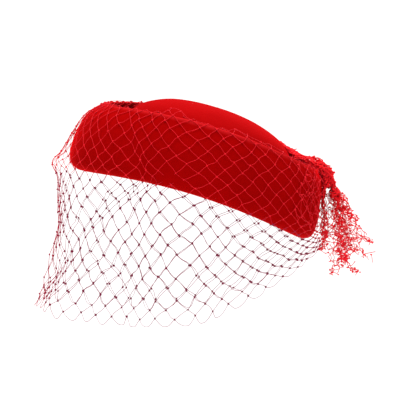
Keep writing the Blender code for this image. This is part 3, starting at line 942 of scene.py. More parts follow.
@dataclass(frozen=True)
class Net:
    """Diamond net in its own flat coordinates: columns across and half rows down."""

    columns: int
    half_rows: int
    segments: int
    jitter: float
    seed: int
    hem: Hem = Hem.CUT
    missing: float = 0.0
    bow: float = 0.55
    sway: float = 0.6
    fray: float = 1.5

    def knots(self) -> np.ndarray:
        """Flat places of the knots.

        Returns:
            An array of (column, half row).
        """
        places = [
            (column + (0.5 if row % 2 else 0.0), row)
            for row in range(self.half_rows + 1)
            for column in range(self.columns + (0 if row % 2 else 1))
        ]
        return np.array(places, float)

    def strands(self, knots: np.ndarray) -> np.ndarray:
        """Pairs of knots that a strand joins.

        Args:
            knots: the flat places.

        Returns:
            An array of index pairs, the upper knot first.
        """
        index = {(round(c * 2), int(r)): i for i, (c, r) in enumerate(knots)}
        pairs = [
            (i, index[(double + side, row + 1)])
            for (double, row), i in index.items()
            for side in (-1, 1)
            if (double + side, row + 1) in index
        ]
        return np.array(pairs, int)

    def lines(self) -> tuple[np.ndarray, np.ndarray]:
        """Flat lines of the strands and flat places of the tied knots.

        Returns:
            An array of lines (strand, point, 2) and an array of knots (knot, 2).
        """
        rng = np.random.default_rng(self.seed)
        knots = self.knots()
        pairs = self.strands(knots)
        if self.missing:
            fade = (knots[pairs[:, 1], 1] / self.half_rows) ** self.fray
            pairs = pairs[rng.uniform(size=len(pairs)) > self.missing * fade]
        moved = knots + self._uneven(rng, knots[:, 0], knots[:, 1])
        t = np.linspace(0, 1, self.segments + 1)[None, :, None]
        start, end = moved[pairs[:, 0]][:, None], moved[pairs[:, 1]][:, None]
        lines = start + (end - start) * t
        middles = knots[pairs].mean(1)
        column, row = middles[:, 0] * 2 - self.columns / 2, middles[:, 1] - 0.5
        bow = self._uneven(rng, column, row)[:, None]
        sway = self._uneven(rng, column, row)[:, None]
        lines = lines + bow * self.bow * np.sin(math.pi * t)
        lines = lines + sway * self.bow * self.sway * np.sin(math.tau * t)
        tied = np.ones(len(knots), bool)
        if self.hem is Hem.LOOPED:
            last = knots[pairs[:, 1], 1] == self.half_rows
            drop = np.sin(math.pi * t[0, :, 0] / 2)
            lines[last, :, 1] = start[last, :, 1] + (end[last, :, 1] - start[last, :, 1]) * drop
            tied = knots[:, 1] < self.half_rows
        return lines, moved[tied]

    def _uneven(self, rng: np.random.Generator, column: np.ndarray, row: np.ndarray) -> np.ndarray:
        """Shifts of places of the net, the same on its two halves.

        Args:
            rng: where the random numbers come from.
            column: the places' columns.
            row: the places' half rows.

        Returns:
            An array of (column, half row) shifts.
        """
        away = column - self.columns / 2
        table = rng.uniform(-self.jitter, self.jitter, (self.columns * 4 + 4, self.half_rows + 2, 2))
        row = np.maximum(np.rint(row).astype(int) - np.where(away < 0, 2, 0), 0)
        picked = table[np.rint(np.abs(away) * 2).astype(int), row]
        return picked * np.stack((0.6 * np.sign(away), np.ones_like(away)), -1)


# Cut threads: points on each, spread and lean of the way out and of the curl, the shortest as a
# share of the longest, and how strongly they curl.
CURL_POINTS = 7
WAY_OUT = ((0.8, 0.7, 0.6), (0.0, 0.5, -0.3))
CURL = ((0.7, 0.6, 0.6), (0.0, 0.0, -0.7))
SHORTEST = 0.36
CURL_STRENGTH = 0.7


def curled_ends(knots: np.ndarray, count: int, longest: float, seed: int) -> np.ndarray:
    """Cut threads that curl out of bunched net.

    Args:
        knots: places in millimetres, from some of which the threads start.
        count: how many threads there are.
        longest: greatest length in millimetres.
        seed: number that picks the places and the curls.

    Returns:
        An array of lines (strand, point, 3).
    """
    rng = np.random.default_rng(seed)
    start = knots[rng.choice(len(knots), count, replace=False)][:, None]
    t = np.linspace(0, 1, CURL_POINTS)[None, :, None]
    head, curl = (rng.normal(0, 1, (count, 1, 3)) * spread + lean for spread, lean in (WAY_OUT, CURL))
    length = rng.uniform(SHORTEST, 1.0, (count, 1, 1)) * longest
    return start + length * (unit(head) * t + unit(curl) * CURL_STRENGTH * t**2)


def with_hang_shade(points: np.ndarray, hang_shade: np.ndarray | float) -> np.ndarray:
    """Points with a fourth number from 0 to 1: how much painted shade the thread gets there."""
    return np.concatenate((points, np.broadcast_to(hang_shade, points.shape[:-1])[..., None]), -1)


def thread_object(name: str, lines: Sequence[np.ndarray], knots: np.ndarray) -> bpy.types.Object:
    """Make the object of edges and marked points that a NetTree draws on.

    Args:
        name: the object's name.
        lines: arrays of points with their shade number (strand, point, 4), the places in millimetres.
        knots: the knots' points with their shade number.

    Returns:
        The object.
    """
    places, edges, start = [], [], 0
    for group in lines:
        strands, points, _ = group.shape
        places.append(group.reshape(-1, 4))
        first = (np.arange(strands)[:, None] * points + np.arange(points - 1)[None]).reshape(-1)
        edges.append(np.stack((first, first + 1), -1) + start)
        start += strands * points
    everything = np.concatenate([*places, knots])
    mesh = bpy.data.meshes.new(name)
    mesh.from_pydata((everything[:, :3] * MM).tolist(), np.concatenate(edges).tolist(), [])
    tied = np.zeros(len(everything))
    tied[start:] = 1.0
    store(mesh, "tied", tied)
    # The fourth number is kept as each point's painted shade.
    store(mesh, "hang_shade", everything[:, 3])
    return add_piece(name, mesh)


# The hat's pieces


@dataclass(frozen=True)
class Cuff:
    """The upturned velvet cuff, with its rolled rim and the lip that lies on the crown's wall."""

    form: HatForm
    finish: Velvet
    turns: int = 192
    wall: float = 3.0
    rim_rise: float = 0.6
    lip_to: float = 13.0
    lip_wall: float = 2.4
    lip_room: float = 0.4
    lip_turn: tuple[tuple[float, float], ...] = ((0.1, 2.2), (0.6, 1.0))
    outer_rings: int = 41
    lip_rings: int = 4
    inner_rings: int = 28
    inner_from: float = 0.10
    rim_steps: int = 8
    softness: float = 0.22
    drift_wave: float = 55.0
    # How near the rim the painted highlight is full, and over what distance it fades, in millimetres.
    highlight_reach: float = 1.4
    highlight_fade: float = 1.8

    def azimuths(self) -> np.ndarray:
        """Angles of one turn."""
        return np.arange(self.turns) * math.tau / self.turns

    def face_ring(self, level: float, out: float) -> np.ndarray:
        """One ring of the outer or inner face, a little uneven as stuffed velvet is.

        Args:
            level: share of the cuff's height.
            out: distance from the outer face.

        Returns:
            The ring's points in world axes.
        """
        around = self.azimuths()
        ring = self.form.cuff(np.array(level), around, out)
        middle = math.sin(math.pi * min(max(level, 0.0), 1.0)) ** 0.5
        drift = wander(ring, self.drift_wave, 3)[:, 0] * self.softness * middle
        outwards = np.stack((np.sin(around), -np.cos(around), 0 * around), -1)
        return self.form.worn(ring + outwards * drift[:, None])

    def lip_ring(self, height: float, out: float) -> np.ndarray:
        """One ring of the lip.

        Args:
            height: above the cuff's bottom edge.
            out: distance from the crown's wall.

        Returns:
            The ring's points in world axes.
        """
        around = self.azimuths()
        front, back, side = self.form.crown_reach(height - self.form.lip_from)
        x, y = self.form.oval(front, back, side, around, out)
        return self.form.worn(np.stack((x, y, self.form.edge_height(around) + height), -1))

    def rings(self) -> list[np.ndarray]:
        """The closed section, ring by ring: outer face, lip, inner face and rim.

        Returns:
            The rings in world axes.
        """
        down = 1 - np.linspace(0, 1, self.outer_rings)
        rings = [self.face_ring(float(level), 0.0) for level in down]
        room, wall, foot = self.lip_room, self.lip_wall, self.form.lip_from
        rings += [self.lip_ring(height, room + out) for height, out in self.lip_turn]
        heights = np.linspace(foot, self.lip_to, self.lip_rings)
        rings += [self.lip_ring(float(height), room) for height in heights]
        rings += [
            self.lip_ring(self.lip_to + wall / 3, room + wall / 2),
            self.lip_ring(self.lip_to, room + wall),
            self.lip_ring(foot, room + wall),
        ]
        up = np.linspace(self.inner_from, 1.0, self.inner_rings)
        rings += [self.face_ring(float(level), -self.wall) for level in up]
        for angle in np.linspace(0, math.pi, self.rim_steps + 1)[1:-1]:
            out = -self.wall / 2 - self.wall / 2 * math.cos(angle)
            level = 1 + self.rim_rise * math.sin(angle) / self.form.cuff_height
            rings.append(self.face_ring(level, out))
        return rings

    def build(self) -> bpy.types.Object:
        """Make the cuff.

        Returns:
            The finished piece.
        """
        rings = self.rings()
        mesh = ring_mesh("velvet_cuff", rings, True)
        # Painted highlight: each point's nearness to the rim, 1 at the rim and fading away from it.
        rim = self.form.worn(self.form.cuff(np.array(1.0), self.azimuths(), -self.wall / 2))
        away = np.linalg.norm(np.array(rings) - rim, axis=-1).reshape(-1)
        rim_highlight_mask = 1 - (away - self.highlight_reach) / self.highlight_fade
        store(mesh, "rim_highlight_mask", np.clip(rim_highlight_mask, 0.0, 1.0))
        mesh.materials.append(self.finish.material())
        piece = add_piece("velvet_cuff", mesh)
        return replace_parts(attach(piece, BODY), "cuff")


@dataclass(frozen=True)
class Crown:
    """The shallow domed velvet crown, hollow and open below."""

    form: HatForm
    finish: Velvet
    turns: int = 160
    wall: float = 2.6
    steps_per_row: int = 6
    softness: float = 0.30
    drift_wave: float = 60.0
    heart_height: float = 20.0

    def grid(self) -> np.ndarray:
        """The outer face, ring by ring from the top, in the hat's own frame.

        Returns:
            An array (ring, point, 3).
        """
        around = np.arange(self.turns) * math.tau / self.turns
        last = int(CROWN_SECTIONS.last)
        rows = np.linspace(0, last, last * self.steps_per_row + 1)[1:]
        grid = self.form.crown(rows[:, None], around[None])
        drift = wander(grid, self.drift_wave, 11)[..., 2] * self.softness
        grid[..., 2] += drift * (1 - rows[:, None] / last)
        return grid

    def inner(self, grid: np.ndarray) -> np.ndarray:
        """The inner face, the wall's thickness inside the outer one.

        Args:
            grid: the outer face.

        Returns:
            An array of the same shape.
        """
        around = np.roll(grid, -1, 1) - np.roll(grid, 1, 1)
        down = np.gradient(grid, axis=0)
        normal = unit(np.cross(down, around))
        away = grid - (0, 0, self.heart_height)
        outwards = np.sign((normal * away).sum(-1, keepdims=True))
        inner = grid - normal * outwards * self.wall
        inner[-1, :, 2] = grid[-1, :, 2]
        return inner

    def build(self) -> bpy.types.Object:
        """Make the crown.

        Returns:
            The finished piece.
        """
        outer = self.grid()
        inner = self.inner(outer)
        worn = self.form.worn
        rings = [worn(ring) for ring in outer] + [worn(ring) for ring in inner[::-1]]
        top = float(self.form.crown_top)
        tips = [worn(np.array((0.0, 0.0, h))) for h in (top, top - self.wall)]
        mesh = ring_mesh("velvet_crown", rings, False, tips)
        mesh.materials.append(self.finish.material())
        piece = add_piece("velvet_crown", mesh)
        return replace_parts(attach(piece, BODY), "crown")


@dataclass(frozen=True)
class Veil:
    """The net veil: over the rim, down the cuff and falling to the nose.

    Lengths and radii are in millimetres. Stations go from 0 at the front to 1 at the back, and
    shares from 0 at the net's top to 1 at its hem.
    """

    form: HatForm
    finish: NetThread
    net: Net
    loose_net: Net
    thread_radius: float = 0.18
    knot_radius: float = 0.85
    lie_closer: float = 0.6
    lie_fade: float = 0.06
    hang_upright: float = 0.083
    upright_evenness: float = 0.4
    right_side_lower: float = 0.122
    right_side_rows: float = 2.0
    right_side_from: float = 0.2
    rim_share: float = 0.105
    rim_folded_by: float = 0.10
    loops_end: float = 0.085
    top_cut: float = -0.005
    fall_on_cuff: float = 160.0
    least_fall: float = 40.0
    # Painted shade of the hanging thread: where it starts above the cuff's edge and how far it takes to
    # come in, in millimetres, then how much and how widely it is lessened at the front and at the back.
    edge_reach: float = 1.0
    edge_fade: float = 3.0
    front_redder: tuple[float, float] = (0.45, 0.12)
    back_redder: tuple[float, float] = (0.4, 0.1)
    drift_wave: float = 34.0
    drift_on_cuff: float = 0.15
    drift_free: float = 0.6
    free_from: float = 0.42
    free_fade: float = 0.2

    def share_at(self, station: np.ndarray, row: np.ndarray) -> np.ndarray:
        """How far down the veil the net's half rows lie, below 0 above its folded top edge."""
        rim, edge = (LEVEL_ROWS.at(c, station) for c in ("rim", "edge"))
        over, hem = self.rim_share, self.form.veil_edge_share
        on_cuff = over + (row - rim) / (edge - rim) * (hem - over)
        free = hem + (row - edge) / (self.net.half_rows - edge) * (1 - hem)
        return np.where(row < rim, over * (1 + (row - rim) / 3), np.where(row < edge, on_cuff, free))

    def spread(self, flat: np.ndarray) -> tuple[np.ndarray, np.ndarray]:
        """Turn flat places of the net into stations and shares, drawn in along the folds.

        Args:
            flat: places as (column, half row).

        Returns:
            The stations and the shares.
        """
        column = flat[..., 0] / self.net.columns * 2 - 1
        side = np.where(column < 0, -1.0, 1.0)
        hem_station = station = COLUMN_STATIONS.at("station", np.abs(column))
        ramp = np.clip(-column / self.right_side_from, 0.0, 1.0)
        ramp = ramp * ramp * (3 - 2 * ramp)
        row = flat[..., 1] - self.right_side_rows * ramp
        for _ in range(3):
            share = self.share_at(station, row)
            sine = np.sin(np.radians(VEIL_SECTIONS.at("azimuth", station)))
            rise = np.clip(1 - share / self.form.veil_edge_share, 0.0, 1.0)
            lean = self.hang_upright * sine / (sine**2 + self.upright_evenness)
            station = hem_station - lean * rise
        share = self.lowered(station, share, ramp)
        station = station * side
        for fold in VEIL_FOLDS:
            near, from_station, from_share = fold_nearness(fold, station, share)
            station = station - np.where(station < 0, -1, 1) * from_station * near * fold.squeeze
            share = share - from_share * near * fold.squeeze
        return station, share

    def lowered(self, station: np.ndarray, share: np.ndarray, amount: np.ndarray) -> np.ndarray:
        """Let the net down a little on the right, so that its rows line up with the left's.

        Args:
            station: way round from the front, positive.
            share: way down the net.
            amount: how much of the shift is made, from 0 to 1.

        Returns:
            The new shares.
        """
        step = 0.004
        start = self.form.veil_plain(station, share)
        drop = amount * np.abs(start[..., 0]) * self.right_side_lower
        found = share
        for _ in range(4):
            height = self.form.veil_plain(station, found)[..., 2]
            fall = (height - self.form.veil_plain(station, found + step)[..., 2]) / step
            fall = np.maximum(fall, self.least_fall)
            fall = np.where(found < self.rim_share, self.fall_on_cuff, fall)
            sunk = np.where(share < self.rim_share, (found - share) * fall, start[..., 2] - height)
            found = found + (drop - sunk) / fall
        return found

    def under_top(self, flat: np.ndarray) -> np.ndarray:
        """Whether flat places of the net lie under its folded top edge."""
        return self.spread(flat)[1] > self.top_cut

    def hanging_shade(self, station: np.ndarray, points: np.ndarray) -> np.ndarray:
        """Painted shade for the thread at points: up to 1 below the cuff's edge, less at the front and
        the back.
        """
        azimuth = np.radians(VEIL_SECTIONS.at("azimuth", np.abs(station))) * np.sign(station)
        edge = self.form.worn(self.form.cuff(np.zeros_like(azimuth), azimuth, 0.0))[..., 2]
        redder = 0.0
        for end, (amount, width) in ((0, self.front_redder), (1, self.back_redder)):
            redder = redder + amount * np.exp(-(((np.abs(station) - end) / width) ** 2))
        below = (edge + self.edge_reach - points[..., 2]) / self.edge_fade
        return np.clip(below, 0.0, 1.0) * (1 - redder)

    def place(self, flat: np.ndarray) -> np.ndarray:
        """World places of flat places of the net.

        Args:
            flat: places as (column, half row).

        Returns:
            The points in millimetres.
        """
        station, share = self.spread(flat)
        share = np.clip(share, 0.0, 1.0)
        points, outwards = self.form.veil(station, share)
        above_edge = (self.form.veil_edge_share - share) / self.lie_fade
        close = self.lie_closer * np.clip(above_edge, 0.0, 1.0) * (share > self.rim_folded_by)
        points = points - outwards * close[..., None]
        top = np.clip(1 - share / self.loops_end, 0.0, 1.0)
        away = unit(points * (1.0, 1.0, 0.0))
        for loop in RIM_LOOPS:
            near = np.exp(-(((np.abs(station) - loop.station) / loop.width) ** 2)) * top
            points = points + (near * loop.up)[..., None] * np.array((0.0, 0.0, 1.0))
            points = points - away * (near * loop.inwards)[..., None]
        free = np.clip((share - self.free_from) / self.free_fade, 0.0, 1.0)[..., None]
        drift = wander_alike(points, self.drift_wave, 21)
        points = points + drift * (self.drift_on_cuff + self.drift_free * free)
        return with_hang_shade(points, self.hanging_shade(station, points))

    def tangle(self, flat: np.ndarray, side: float) -> np.ndarray:
        """World places of the loose net doubled over the back of the cuff.

        Args:
            flat: places as (column, half row) of the loose net.
            side: 1 on the wearer's left and -1 on the right.

        Returns:
            The points in millimetres.
        """
        first, reach, sway, sways = 0.80, 0.20, 0.02, 9.0
        top, fall, dip, dips = 0.12, 0.30, 0.04, 7.0
        waist_station, waist_share, pull, width = 0.88, 0.30, 0.5, 0.04
        wave, proud, puff, crumple = 9.0, 0.4, 0.8, 1.2
        across, down = flat[..., 0] / self.loose_net.columns, flat[..., 1] / self.loose_net.half_rows
        station = first + reach * across + sway * np.sin(down * sways)
        share = top + fall * down + dip * np.sin(across * dips)
        near = np.exp(-(((share - waist_share) / width) ** 2))
        station = station - (station - waist_station) * pull * near
        station = np.minimum(station, 1.0) * side
        points, outwards = self.form.veil(station, np.clip(share, 0.0, 1.0))
        loose = wander_alike(points, wave, 27)
        points = points + outwards * (proud + puff * np.abs(loose[..., :1])) + loose * crumple
        return with_hang_shade(points, self.hanging_shade(station, points))

    def build(self) -> bpy.types.Object:
        """Make the veil.

        Returns:
            The finished piece.
        """
        lines, knots = self.net.lines()
        groups = [self.place(lines[self.under_top(lines).all(-1)])]
        tied = [self.place(knots[self.under_top(knots)])]
        lines, knots = self.loose_net.lines()
        for side in (1.0, -1.0):
            groups.append(self.tangle(lines, side))
            tied.append(self.tangle(knots, side))
        base = thread_object("net_veil", groups, np.concatenate(tied))
        tree = NetTree("veil_net", self.finish.material())
        piece = tree.applied(base, {
            "Thread Radius": self.thread_radius * MM,
            "Thread Sides": 4,
            "Knot Radius": self.knot_radius * MM,
            "Knot Spread": 0.22,
            "Close Knots": 0.84,
            "Seed": 5,
        })
        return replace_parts(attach(piece, BODY), "veil")


@dataclass(frozen=True)
class Gather:
    """The roll of bunched net over the back of the rim."""

    form: HatForm
    finish: NetThread
    net: Net
    thread_radius: float = 0.34
    knot_radius: float = 0.85
    turns: float = 3.2
    skew: float = 0.5
    skews: float = 2.1
    widest: float = 1.10
    wound_in: float = 0.62
    full_thick: float = 3.4
    least_loose: float = 0.25
    fuzz: float = 1.3
    fuzz_wave: float = 8.0
    fine_fuzz: float = 0.8
    fine_wave: float = 3.2
    ends: int = 150
    longest_end: float = 3.2

    def place(self, flat: np.ndarray) -> np.ndarray:
        """World places of the rolled net.

        Args:
            flat: places as (column, half row).

        Returns:
            The points in millimetres.
        """
        across = flat[..., 0] / self.net.columns
        last = GATHER_PATH.last
        row = np.clip(flat[..., 1] / self.net.half_rows, 0.0, 1.0) * last
        step = 0.1
        middle = self.form.gather_middle(row)
        ahead = self.form.gather_middle(np.minimum(row + step, last))
        direction = unit(ahead - self.form.gather_middle(np.maximum(row - step, 0.0)))
        side = np.zeros_like(direction)
        side[..., 0] = 1.0
        up = unit(np.cross(direction, side))
        angle = math.tau * self.turns * across + self.skew * np.sin(row * self.skews)
        inwards = self.widest - self.wound_in * across
        wide = GATHER_PATH.at("wide", row) * inwards * np.cos(angle)
        thick = GATHER_PATH.at("thick", row) * inwards * np.sin(angle)
        points = middle + side * wide[..., None] + up * thick[..., None]
        loose = np.clip(GATHER_PATH.at("thick", row) / self.full_thick, self.least_loose, 1.0)
        fuzz = wander(points, self.fuzz_wave, 31) * self.fuzz
        fuzz = fuzz + wander(points, self.fine_wave, 32) * self.fine_fuzz
        return with_hang_shade(points + fuzz * loose[..., None], 0.0)

    def build(self) -> bpy.types.Object:
        """Make the roll.

        Returns:
            The finished piece.
        """
        lines, knots = self.net.lines()
        knots = self.place(knots)
        ends = with_hang_shade(curled_ends(knots[:, :3], self.ends, self.longest_end, 70), 0.0)
        base = thread_object("net_gather", [self.place(lines), ends], knots)
        piece = NetTree("gathered_roll", self.finish.material()).applied(base, {
            "Thread Radius": self.thread_radius * MM,
            "Thread Sides": 4,
            "Knot Radius": self.knot_radius * MM,
            "Knot Spread": 0.35,
            "Seed": 17,
        })
        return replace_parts(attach(piece, BODY), "veil_gather")


@dataclass(frozen=True)
class Lock:
    """One strip of a tail: its tip and bend from the head's middle, and its half thickness."""

    tip: tuple[float, float, float]
    bend: tuple[float, float]
    top: float
    middle: float
    end: float


@dataclass(frozen=True)
class Tail:
    """A tail of crushed, cut net that hangs from the roll.

    behind and below place its head from the roll's lower end, and head is the head's half size.
    """

    name: str
    node: str
    form: HatForm
    finish: NetThread
    net: Net
    behind: float
    below: float
    head: tuple[float, float, float]
    locks: tuple[Lock, ...]
    fullness: float
    ends: int
    thread_radius: float = 0.25
    knot_radius: float = 0.62
    longest_end: float = 7.5
    ends_below: float = 0.55
    lock_root: tuple[float, float, float] = (0.32, 0.07, 0.3)
    steepness: float = 1.6
    lock_turns: float = 1.3
    head_turns: float = 2.3
    head_swell: float = 1.12

    def root(self) -> np.ndarray:
        """The middle of the tail's head."""
        end = self.form.gather_middle(np.array(float(GATHER_PATH.last)))
        return end + np.array((0.0, self.behind, -self.below))

    def lock_places(self, lock: Lock, flat: np.ndarray, seed: int) -> np.ndarray:
        """World places of the net crushed into one lock.

        Args:
            lock: the lock.
            flat: places as (column, half row).
            seed: number that picks its crumple.

        Returns:
            The points in millimetres.
        """
        longest, twist, twists = 1.02, 1.6, 5
        inside, swing, pleats = 0.55, 0.45, 2.3
        wave, crumple, opening, fine_wave, fine_crumple = 12.0, 0.8, 1.6, 4.0, 1.1
        t = np.clip(flat[..., 1] / self.net.half_rows, 0.0, longest)
        head, tip = self.root(), self.root() + np.array(lock.tip)
        across, behind, above = self.lock_root
        start = head + np.array((lock.tip[0] * across, lock.tip[1] * behind, above))
        path = start + (tip - start) * t[..., None]
        sunk = 1 - np.maximum(1 - t, 0.0) ** self.steepness
        path[..., 2] = start[2] + (tip[2] - start[2]) * sunk
        sway = np.sin(math.pi * t)
        path[..., 0] += lock.bend[0] * sway
        path[..., 1] += lock.bend[1] * sway
        radius = np.interp(t, (0.0, 0.5, 1.0), (lock.top, lock.middle, lock.end)) * self.fullness
        angle = flat[..., 0] / self.net.columns * math.tau * self.lock_turns
        angle = angle + seed + twist * np.sin(t * twists + seed)
        depth = inside + swing * np.sin(flat[..., 0] * pleats + seed)
        path[..., 0] += np.cos(angle) * radius * depth
        path[..., 1] += np.sin(angle) * radius * depth
        crumpled = wander(path, wave, 40 + seed) * (crumple + opening * t[..., None])
        return path + crumpled + wander(path, fine_wave, 60 + seed) * fine_crumple

    @staticmethod
    def paler_to_end(points: np.ndarray) -> np.ndarray:
        """Points with a fourth number that makes the thread a little paler and its knots a little darker
        towards the tail's end.
        """
        starts, length, most = 15, 60, 0.35
        return with_hang_shade(points, np.clip((-points[..., 2] - starts) / length, 0.0, most))

    def free_ends(self, knots: np.ndarray) -> np.ndarray:
        """Cut threads that curl out of the tail's lower half.

        Args:
            knots: places of the tail's knots in millimetres.

        Returns:
            An array of lines (strand, point, 3).
        """
        low = knots[knots[:, 2] < np.quantile(knots[:, 2], self.ends_below)]
        return curled_ends(low, self.ends, self.longest_end, self.net.seed)

    def head_places(self, flat: np.ndarray) -> np.ndarray:
        """World places of the net bunched into the tail's head.

        Args:
            flat: places as (column, half row).

        Returns:
            The points in millimetres.
        """
        top, reach = 0.08, 0.84
        inside, swing, pleats = 0.72, 0.28, 1.7
        wave, crumple = 4.0, 0.7
        around = flat[..., 0] / self.net.columns * math.tau * self.head_turns
        down = (top + reach * flat[..., 1] / self.net.half_rows) * math.pi
        deep = inside + swing * np.sin(flat[..., 0] * pleats + flat[..., 1])
        level = np.sin(down)
        ball = np.stack((level * np.cos(around), level * np.sin(around), np.cos(down)), -1)
        points = self.root() + ball * np.array(self.head) * (deep[..., None] * self.head_swell)
        return points + wander(points, wave, 90) * crumple

    def build(self) -> bpy.types.Object:
        """Make the tail.

        Returns:
            The finished piece.
        """
        groups, knots = [], []
        for seed, lock in enumerate(self.locks):
            flat_lines, flat_knots = replace(self.net, seed=self.net.seed + seed).lines()
            groups.append(self.lock_places(lock, flat_lines, seed))
            knots.append(self.lock_places(lock, flat_knots, seed))
        bunch = replace(self.net, columns=self.net.columns * 2, seed=9, missing=0.0)
        flat_lines, flat_knots = bunch.lines()
        groups.append(self.free_ends(np.concatenate(knots)))
        groups.append(self.head_places(flat_lines))
        knots.append(self.head_places(flat_knots))
        tied = self.paler_to_end(np.concatenate(knots))
        base = thread_object(self.name, [self.paler_to_end(group) for group in groups], tied)
        piece = NetTree(self.name, self.finish.material()).applied(base, {
            "Thread Radius": self.thread_radius * MM,
            "Thread Sides": 4,
            "Knot Radius": self.knot_radius * MM,
            "Knot Spread": 0.65,
            "Seed": 23,
        })
        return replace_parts(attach(piece, BODY), self.node)


MAIN_TAIL_LOCKS = (
    Lock((2.0, 0.2, -60.9), (1.0, 1.0), 3.4, 4.2, 1.8),
    Lock((4.0, 15.7, -58.9), (2.0, -1.5), 3.6, 4.8, 1.8),
    Lock((-4.0, 7.7, -51.9), (-2.0, 0.0), 3.6, 4.8, 2.0),
    Lock((-3.0, 24.2, -45.9), (-1.0, -3.0), 3.2, 4.2, 1.7),
    Lock((3.0, 28.7, -34.4), (2.0, -2.0), 3.0, 3.2, 1.3),
    Lock((-4.0, 17.7, -16.9), (-1.0, 1.0), 2.8, 2.6, 1.1),
    Lock((14.0, 5.7, -47.9), (3.0, 1.5), 3.0, 3.8, 1.6),
    Lock((-14.0, 5.7, -49.9), (-3.0, 1.5), 3.0, 3.8, 1.6),
)

SMALL_TAIL_LOCKS = (
    Lock((1.0, -0.7, -43.2), (1.0, 0.0), 1.5, 2.1, 1.0),
    Lock((6.0, -0.2, -34.2), (2.0, 0.5), 1.5, 2.0, 1.0),
    Lock((-6.0, -1.2, -37.2), (-2.0, 0.5), 1.5, 2.0, 1.0),
)

CUFF_VELVET = Velvet(
    name="cuff_velvet",
    deep=(0.20, 0.0003, 0.0003),
    lit=(0.31, 0.0005, 0.0006),
    sheen=1.0,
    sheen_tint=(0.82, 0.004, 0.006),
    sheen_roughness=0.30,
)
CROWN_VELVET = Velvet(
    name="crown_velvet",
    deep=(0.21, 0.0004, 0.0006),
    lit=(0.30, 0.0010, 0.0014),
    sheen=0.80,
    sheen_tint=(0.84, 0.007, 0.011),
    sheen_roughness=0.34,
)
# Painted shade: the thread hangs darker below the cuff, and its knots there darker still.
VEIL_THREAD = NetThread(
    name="veil_thread",
    worn_close=(0.72, 0.010, 0.018),
    hanging_shade=(0.26, 0.025, 0.075),
    knot_shade=(0.13, 0.010, 0.040),
)
# Towards the tails' ends the thread turns a little paler and its knots a little darker.
BUNCHED_THREAD = NetThread(
    name="bunched_thread",
    worn_close=(0.95, 0.012, 0.018),
    hanging_shade=(0.90, 0.03, 0.05),
    knot_shade=(0.8, 0.02, 0.03),
)

VEIL_NET = Net(columns=42, half_rows=26, segments=6, jitter=0.15, seed=2, hem=Hem.LOOPED)
DOUBLED_NET = Net(columns=3, half_rows=7, segments=7, jitter=0.36, seed=6)
ROLLED_NET = Net(columns=40, half_rows=18, segments=3, jitter=0.36, seed=4)
MAIN_TAIL_NET = Net(columns=3, half_rows=12, segments=5, jitter=0.50, seed=50, missing=0.72)
SMALL_TAIL_NET = Net(columns=3, half_rows=11, segments=5, jitter=0.50, seed=80, missing=0.60)


# Studio


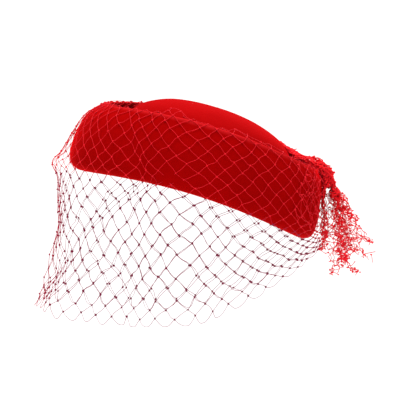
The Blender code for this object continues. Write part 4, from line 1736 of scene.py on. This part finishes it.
@dataclass(frozen=True)
class Studio:
    """White sweep, soft light and the camera at the photograph's angle."""

    floor_height: float = -0.30
    floor_reach: float = 30.0
    sensor_width: float = 36.0
    camera_distance: float = 12.0
    elevation_deg: float = 3.5
    view_width: float = 0.296
    aim: tuple[float, float, float] = (0.0, 0.00666, -0.0015)

    def floor(self) -> bpy.types.Object:
        """Lay the pale floor.

        Returns:
            None; the floor is marked as backdrop but not handed back.
        """
        mesh = bpy.data.meshes.new("floor")
        signs = ((-1, -1), (1, -1), (1, 1), (-1, 1))
        corners = [(x * self.floor_reach, y * self.floor_reach, self.floor_height) for x, y in signs]
        mesh.from_pydata(corners, [], [(0, 1, 2, 3)])
        shading = Shading("pale_floor")
        mesh.materials.append(shading.end({
            "Base Color": (0.9, 0.9, 0.9, 1.0),
            "Roughness": 0.8,
            "Emission Color": (1.0, 1.0, 1.0, 1.0),
            "Emission Strength": 0.25,
        }))
        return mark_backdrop(add_piece("floor", mesh))

    def light(self) -> None:
        """Light the hat softly from above and from all round."""
        world = bpy.data.worlds.new("studio")
        bpy.context.scene.world = world
        world.use_nodes = True
        world.node_tree.nodes["Background"].inputs["Color"].default_value = (1.0, 1.0, 1.0, 1.0)
        world.node_tree.nodes["Background"].inputs["Strength"].default_value = 1.0
        for name, place, size, power in (
            ("top_light", (0.05, -0.05, 1.2), 0.9, 20.0),
            ("back_light", (-0.7, 0.5, 0.9), 0.6, 4.0),
        ):
            lamp = bpy.data.lights.new(name, "AREA")
            lamp.shape, lamp.size, lamp.energy = "DISK", size, power
            holder = bpy.data.objects.new(name, lamp)
            holder.location = place
            holder.rotation_euler = (-Vector(place)).to_track_quat("-Z", "Y").to_euler()
            bpy.context.scene.collection.objects.link(holder)

    def camera(self) -> None:
        """Set the camera at the wearer's left, a little above."""
        lens = bpy.data.cameras.new("side_view")
        lens.sensor_width = self.sensor_width
        lens.lens = self.sensor_width * self.camera_distance / self.view_width
        lens.clip_end = 100.0
        holder = bpy.data.objects.new("side_view", lens)
        rise = math.radians(self.elevation_deg)
        away = Vector((math.cos(rise), 0.0, math.sin(rise))) * self.camera_distance
        holder.location = Vector(self.aim) + away
        holder.rotation_euler = (-away).to_track_quat("-Z", "Y").to_euler()
        bpy.context.scene.collection.objects.link(holder)
        bpy.context.scene.camera = holder

    def build(self) -> bpy.types.Object:
        """Set up the whole studio.

        Returns:
            None; the floor is not handed back.
        """
        bpy.context.scene.view_settings.view_transform = "Standard"
        self.light()
        self.camera()
        return self.floor()


def report(piece: bpy.types.Object) -> None:
    """Log a piece's name and how many triangles it has."""
    piece.data.calc_loop_triangles()
    LOG.info("%s: %d triangles", piece.name, len(piece.data.loop_triangles))


def main() -> None:
    """Build the hat's pieces in order and the studio round them."""
    logging.basicConfig(level=logging.INFO, format="%(name)s: %(message)s")
    form = HatForm()
    main_tail = Tail(
        name="net_tail_main",
        node="veil_tail_main",
        form=form,
        finish=BUNCHED_THREAD,
        net=MAIN_TAIL_NET,
        behind=4.4,
        below=5.1,
        head=(8.2, 4.2, 4.3),
        locks=MAIN_TAIL_LOCKS,
        fullness=1.9,
        ends=44,
    )
    small_tail = Tail(
        name="net_tail_small",
        node="veil_tail_small",
        form=form,
        finish=BUNCHED_THREAD,
        net=SMALL_TAIL_NET,
        behind=-4.0,
        below=3.8,
        head=(6.5, 1.6, 3.0),
        locks=SMALL_TAIL_LOCKS,
        fullness=1.6,
        ends=24,
    )
    for part in (
        Crown(form, CROWN_VELVET),
        Cuff(form, CUFF_VELVET),
        Veil(form, VEIL_THREAD, VEIL_NET, DOUBLED_NET),
        Gather(form, BUNCHED_THREAD, ROLLED_NET),
        main_tail,
        small_tail,
    ):
        report(part.build())
    Studio().build()


if __name__ == "__main__":
    main()
